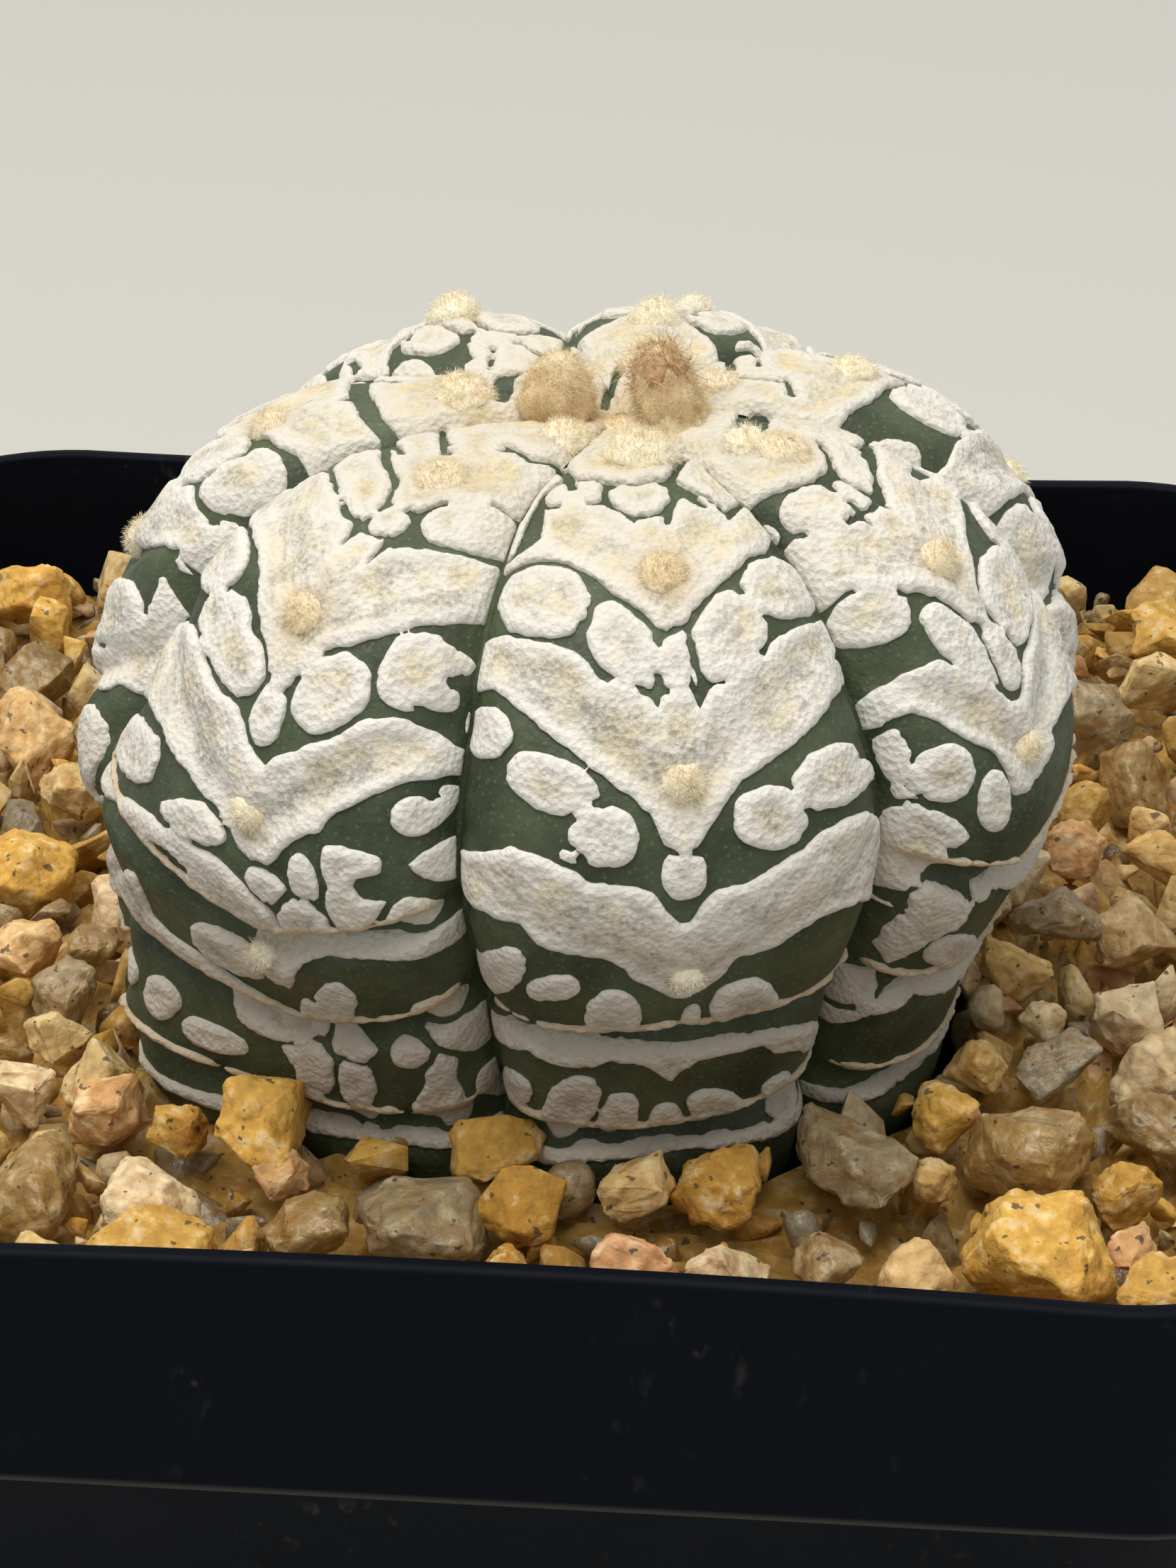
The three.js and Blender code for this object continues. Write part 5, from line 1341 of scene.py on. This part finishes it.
def broken_stones(name, seed, count, corners, splits, crumble):
    """A hidden set of stones one unit wide: hulls of random corners with chipped edges,
    and, where they are split finer, a crumbly skin."""
    random = np.random.default_rng(seed)
    stones = bpy.data.collections.new(name)
    for k in range(count):
        points = random.normal(size=(corners, 3))
        points /= np.linalg.norm(points, axis=1)[:, None]
        points *= np.array([0.54, 0.47, 0.4]) * random.uniform(0.8, 1.08, (corners, 1))
        stone = bmesh.new()
        for point in points:
            stone.verts.new(point)
        bmesh.ops.convex_hull(stone, input=stone.verts)
        bmesh.ops.delete(stone, geom=[v for v in stone.verts if not v.link_faces], context="VERTS")
        bmesh.ops.bevel(stone, geom=stone.edges[:], offset=0.07, segments=1, affect="EDGES", clamp_overlap=True)
        bmesh.ops.triangulate(stone, faces=stone.faces[:])
        for _ in range(splits):
            bmesh.ops.subdivide_edges(stone, edges=stone.edges[:], cuts=1, use_grid_fill=True)
            bmesh.ops.smooth_vert(stone, verts=stone.verts[:], factor=0.25, use_axis_x=True, use_axis_y=True,
                                  use_axis_z=True)
        if crumble:
            shift = Vector(random.uniform(-50, 50, 3))
            stone.normal_update()
            for vert in stone.verts:
                lump = noise.fractal(vert.co * 6 + shift, 0.8, 2.0, 4)
                vert.co += vert.normal * crumble * lump
        mesh = bpy.data.meshes.new(f"{name}_{k:02d}")
        stone.to_mesh(mesh)
        stone.free()
        mesh.polygons.foreach_set("use_smooth", [True] * len(mesh.polygons))
        stones.objects.link(bpy.data.objects.new(f"{name}_{k:02d}", mesh))
    return stones


def dressing_tree(material):
    """Geometry Nodes: sets one stone of a collection on each point, turned at random, at the
    point's size, and gives each the material."""
    tree = bpy.data.node_groups.new("loose_stones", "GeometryNodeTree")
    for name, kind in (("Points", "NodeSocketGeometry"), ("Stones", "NodeSocketCollection"),
                       ("Size", "NodeSocketFloat"),
                       ("Tilt", "NodeSocketFloat"), ("Seed", "NodeSocketInt")):
        tree.interface.new_socket(name, in_out="INPUT", socket_type=kind)
    tree.interface.new_socket("Geometry", in_out="OUTPUT", socket_type="NodeSocketGeometry")
    given = add_node(tree, "NodeGroupInput").outputs
    stones = add_node(tree, "GeometryNodeCollectionInfo",
                      {"Collection": given["Stones"], "Separate Children": True, "Reset Children": True})
    size = add_node(tree, "GeometryNodeInputNamedAttribute", {"Name": "size"}, data_type="FLOAT")
    scale = add_node(tree, "ShaderNodeMath", {0: size.outputs[0], 1: given["Size"]}, operation="MULTIPLY")
    lean_low = add_node(tree, "ShaderNodeMath", {0: given["Tilt"], 1: -1.0}, operation="MULTIPLY")
    low = add_node(tree, "ShaderNodeCombineXYZ", {0: lean_low.outputs[0], 1: lean_low.outputs[0], 2: -3.14159})
    high = add_node(tree, "ShaderNodeCombineXYZ", {0: given["Tilt"], 1: given["Tilt"], 2: 3.14159})
    turn = add_node(tree, "FunctionNodeRandomValue",
                    {"Min": low.outputs[0], "Max": high.outputs[0], "Seed": given["Seed"]},
                    data_type="FLOAT_VECTOR")
    pick = add_node(tree, "FunctionNodeRandomValue", {4: 0, 5: 199, "Seed": given["Seed"]}, data_type="INT")
    placed = add_node(tree, "GeometryNodeInstanceOnPoints", {
        "Points": given["Points"], "Instance": stones.outputs[0], "Pick Instance": True,
        "Instance Index": pick.outputs[2],
        "Rotation": turn.outputs[0], "Scale": scale.outputs[0],
    })
    real = add_node(tree, "GeometryNodeRealizeInstances", {"Geometry": placed.outputs[0]})
    coated = add_node(tree, "GeometryNodeSetMaterial", {"Geometry": real.outputs[0], "Material": material})
    add_node(tree, "NodeGroupOutput", {0: coated.outputs[0]})
    return tree


stone_tree = dressing_tree(granite_grit)


def lay_stones(name, points, sizes, minerals, shades, stones, tilt, seed):
    """A piece made of stones at points, both in millimetres."""
    mesh = bpy.data.meshes.new(name)
    mesh.from_pydata((np.asarray(points) * MM).tolist(), [], [])
    set_point_values(mesh, size=np.asarray(sizes) * MM, mineral=minerals, shade=shades)
    piece = bpy.data.objects.new(name, mesh)
    bpy.context.scene.collection.objects.link(piece)
    modifier = piece.modifiers.new("stones", "NODES")
    modifier.node_group = stone_tree
    set_inputs(modifier, {"Stones": stones, "Size": 1.0, "Tilt": tilt, "Seed": seed})
    bake_modifiers(piece)
    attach(piece, "root")
    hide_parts("gravel_top_dressing")
    return piece


def neck_line():
    """Turn and distance of the plant's skin from its axis at the level of the stones."""
    turns, radii = [], []
    for k in range(7):
        across = np.linspace(-1, 1, 25)
        turns.append(rib_turns[k] + across * half_angle(k, across))
        levels = [skin_points(k, across, s)[:, :2] - plant_axis for s in (46, 49, 52)]
        radii.append(np.min([np.hypot(*level.T) for level in levels], axis=0) + 0.6)
    turns, radii = np.concatenate(turns) % 360, np.concatenate(radii)
    order = np.argsort(turns)
    return turns[order], radii[order]


neck_turns, neck_radii = neck_line()


def neck_radius(x, y):
    towards = math.degrees(math.atan2(x - plant_axis[0], plant_axis[1] - y)) % 360
    return np.interp(towards, neck_turns, neck_radii, period=360)


def inside_pot(x, y, margin):
    half = band_half - wall - 0.4 - margin
    corner = max(rim_corner - wall - margin, 1.0)
    dx, dy = max(abs(x) - (half - corner), 0), max(abs(y) - (half - corner), 0)
    return math.hypot(dx, dy) < corner and abs(x) < half and abs(y) < half


def scatter(seed, wanted, sizes, spacing, taken=()):
    """Random places for stones that keep clear of the wall, the plant and the ones before them."""
    random = np.random.default_rng(seed)
    found = []
    grid = {}
    cell = 9.0
    for x, y, size in taken:
        grid.setdefault((int(x // cell), int(y // cell)), []).append((x, y, size))
    for _ in range(wanted * 60):
        if len(found) == wanted:
            break
        x, y = random.uniform(-43, 43, 2)
        size = random.uniform(*sizes)
        if not inside_pot(x, y, size * 0.45):
            continue
        if math.hypot(x - plant_axis[0], y - plant_axis[1]) < neck_radius(x, y) + size * 0.34:
            continue
        column, row = int(x // cell), int(y // cell)
        near = [p for a in (-1, 0, 1) for b in (-1, 0, 1) for p in grid.get((column + a, row + b), ())]
        if any(math.hypot(x - a, y - b) < spacing * (size + other) / 2 for a, b, other in near):
            continue
        grid.setdefault((column, row), []).append((x, y, size))
        found.append((x, y, size))
    return np.array(found)


def lay_layer(name, places, sink, jitter, stones, tilt, seed, dark):
    """A layer of scattered stones, its centres sink mm under the mean height of the bed. Dark
    lowers their shade values: painted shade, most for the layer that lies deepest.
    """
    random = np.random.default_rng(seed)
    x, y, size = places.T
    z = bed_height(x, y) - sink + random.uniform(-jitter, jitter, len(x))
    minerals = random.random(len(x))
    shades = np.clip(random.normal(0.55 - dark, 0.22, len(x)), 0, 1)
    return lay_stones(name, np.column_stack([x, y, z]), size, minerals, shades, stones, tilt, seed)


crumbs = broken_stones("grit_crumbs", 21, 14, 8, 0, 0)
chips = broken_stones("granite_chips", 22, 18, 9, 0, 0)
blocks = broken_stones("granite_blocks", 23, 14, 16, 1, 0.04)
boulders = broken_stones("large_granite", 24, 16, 16, 2, 0.045)

seen = np.array(seen_stones)
for row in seen:
    # A stone that would reach into the plant's neck rests against it
    away = row[:2] - plant_axis
    short = neck_radius(*row[:2]) + 0.36 * row[2] - np.hypot(*away)
    row[:2] += away / np.hypot(*away) * max(short, 0)
seen_z = bed_height(seen[:, 0], seen[:, 1]) + 0.05 * seen[:, 2]
seen_shade = np.random.default_rng(31).uniform(0.55, 0.95, len(seen))
lay_stones("stones_front", np.column_stack([seen[:, :2], seen_z]), seen[:, 2], seen[:, 3], seen_shade,
           boulders, 0.7, 32)

taken = [tuple(row[:3]) for row in seen]
big = scatter(41, 190, (5.0, 7.8), 0.82, taken)
lay_layer("stones_large", big, 0.3, 0.6, blocks, 3.14, 42, 0.0)
medium = scatter(43, 330, (3.4, 5.2), 0.72, [*taken, *map(tuple, big * [1, 1, 0.8])])
lay_layer("stones_medium", medium, 1.0, 0.7, chips, 3.14, 44, 0.05)
# The deepest layer takes the most painted shade
lay_layer("stones_under", scatter(45, 520, (3.6, 5.6), 0.66), 3.3, 0.5, chips, 3.14, 46, 0.2)
lay_layer("stones_fine", scatter(47, 320, (1.4, 2.6), 0.9), 1.2, 0.8, crumbs, 3.14, 48, 0.05)


# Studio: a plain pale floor, an even sky and one broad soft light overhead. The camera looks down
# at 28 degrees from a little right of the front, as the picture was taken.
def floor_paint(name):
    """Matt warm grey paint."""
    material, tree, place = start_material(name)
    haze = add_node(tree, "ShaderNodeTexNoise", {"Vector": place, "Scale": 3.0})
    colour = add_node(tree, "ShaderNodeMix", {0: haze.outputs[0], 6: linear("#c6c5be"), 7: linear("#c8c7c0")},
                      data_type="RGBA")
    finish_material(tree, {"Base Color": colour.outputs[2], "Roughness": 0.9, "Specular IOR Level": 0.1})
    return material


reach = 4000
floor = mesh_piece(
    "studio_floor", [(-reach, -reach, 0), (reach, -reach, 0), (reach, reach, 0), (-reach, reach, 0)],
    [(0, 1, 2, 3)], floor_paint("matt floor paint"), smooth=False)

world = bpy.data.worlds.new("soft sky")
world.use_nodes = True
sky = world.node_tree.nodes["Background"]
sky.inputs[0].default_value = linear("#f3f4f6")
sky.inputs[1].default_value = 0.63
bpy.context.scene.world = world

lamp = bpy.data.lights.new("overhead softbox", "AREA")
lamp.shape = "RECTANGLE"
lamp.size = 0.9
lamp.size_y = 0.7
lamp.energy = 8.4
lamp.color = linear("#fffaf2")[:3]
softbox = bpy.data.objects.new("overhead softbox", lamp)
softbox.location = (-0.12, -0.1, 0.94)
softbox.rotation_euler = (Vector((0.005, -0.006, 0.1)) - softbox.location).to_track_quat("-Z", "Y").to_euler()
bpy.context.scene.collection.objects.link(softbox)

photo_height = 2212
focal_length = 6338
sensor = 36
azimuth = math.radians(6.68)
elevation = math.radians(28.48)
roll = math.radians(-1.08)
distance = 240.2
target = Vector((3.953, 0.463, 85.25))
back = Vector((math.sin(azimuth) * math.cos(elevation), -math.cos(azimuth) * math.cos(elevation),
               math.sin(elevation)))
level = Vector((math.cos(azimuth), math.sin(azimuth), 0))
upright = back.cross(level)
right = level * math.cos(roll) + upright * math.sin(roll)
up = upright * math.cos(roll) - level * math.sin(roll)
place = (target + back * distance) * MM
camera = bpy.data.objects.new("camera", bpy.data.cameras.new("camera"))
camera.data.sensor_fit = "VERTICAL"
camera.data.sensor_height = sensor
camera.data.lens = focal_length * sensor / photo_height
camera.data.clip_start = 0.005
camera.data.clip_end = 20
camera.matrix_world = Matrix((
    (right.x, up.x, back.x, place.x), (right.y, up.y, back.y, place.y),
    (right.z, up.z, back.z, place.z), (0, 0, 0, 1)))
bpy.context.scene.collection.objects.link(camera)
bpy.context.scene.camera = camera
bpy.context.scene.view_settings.view_transform = "Standard"
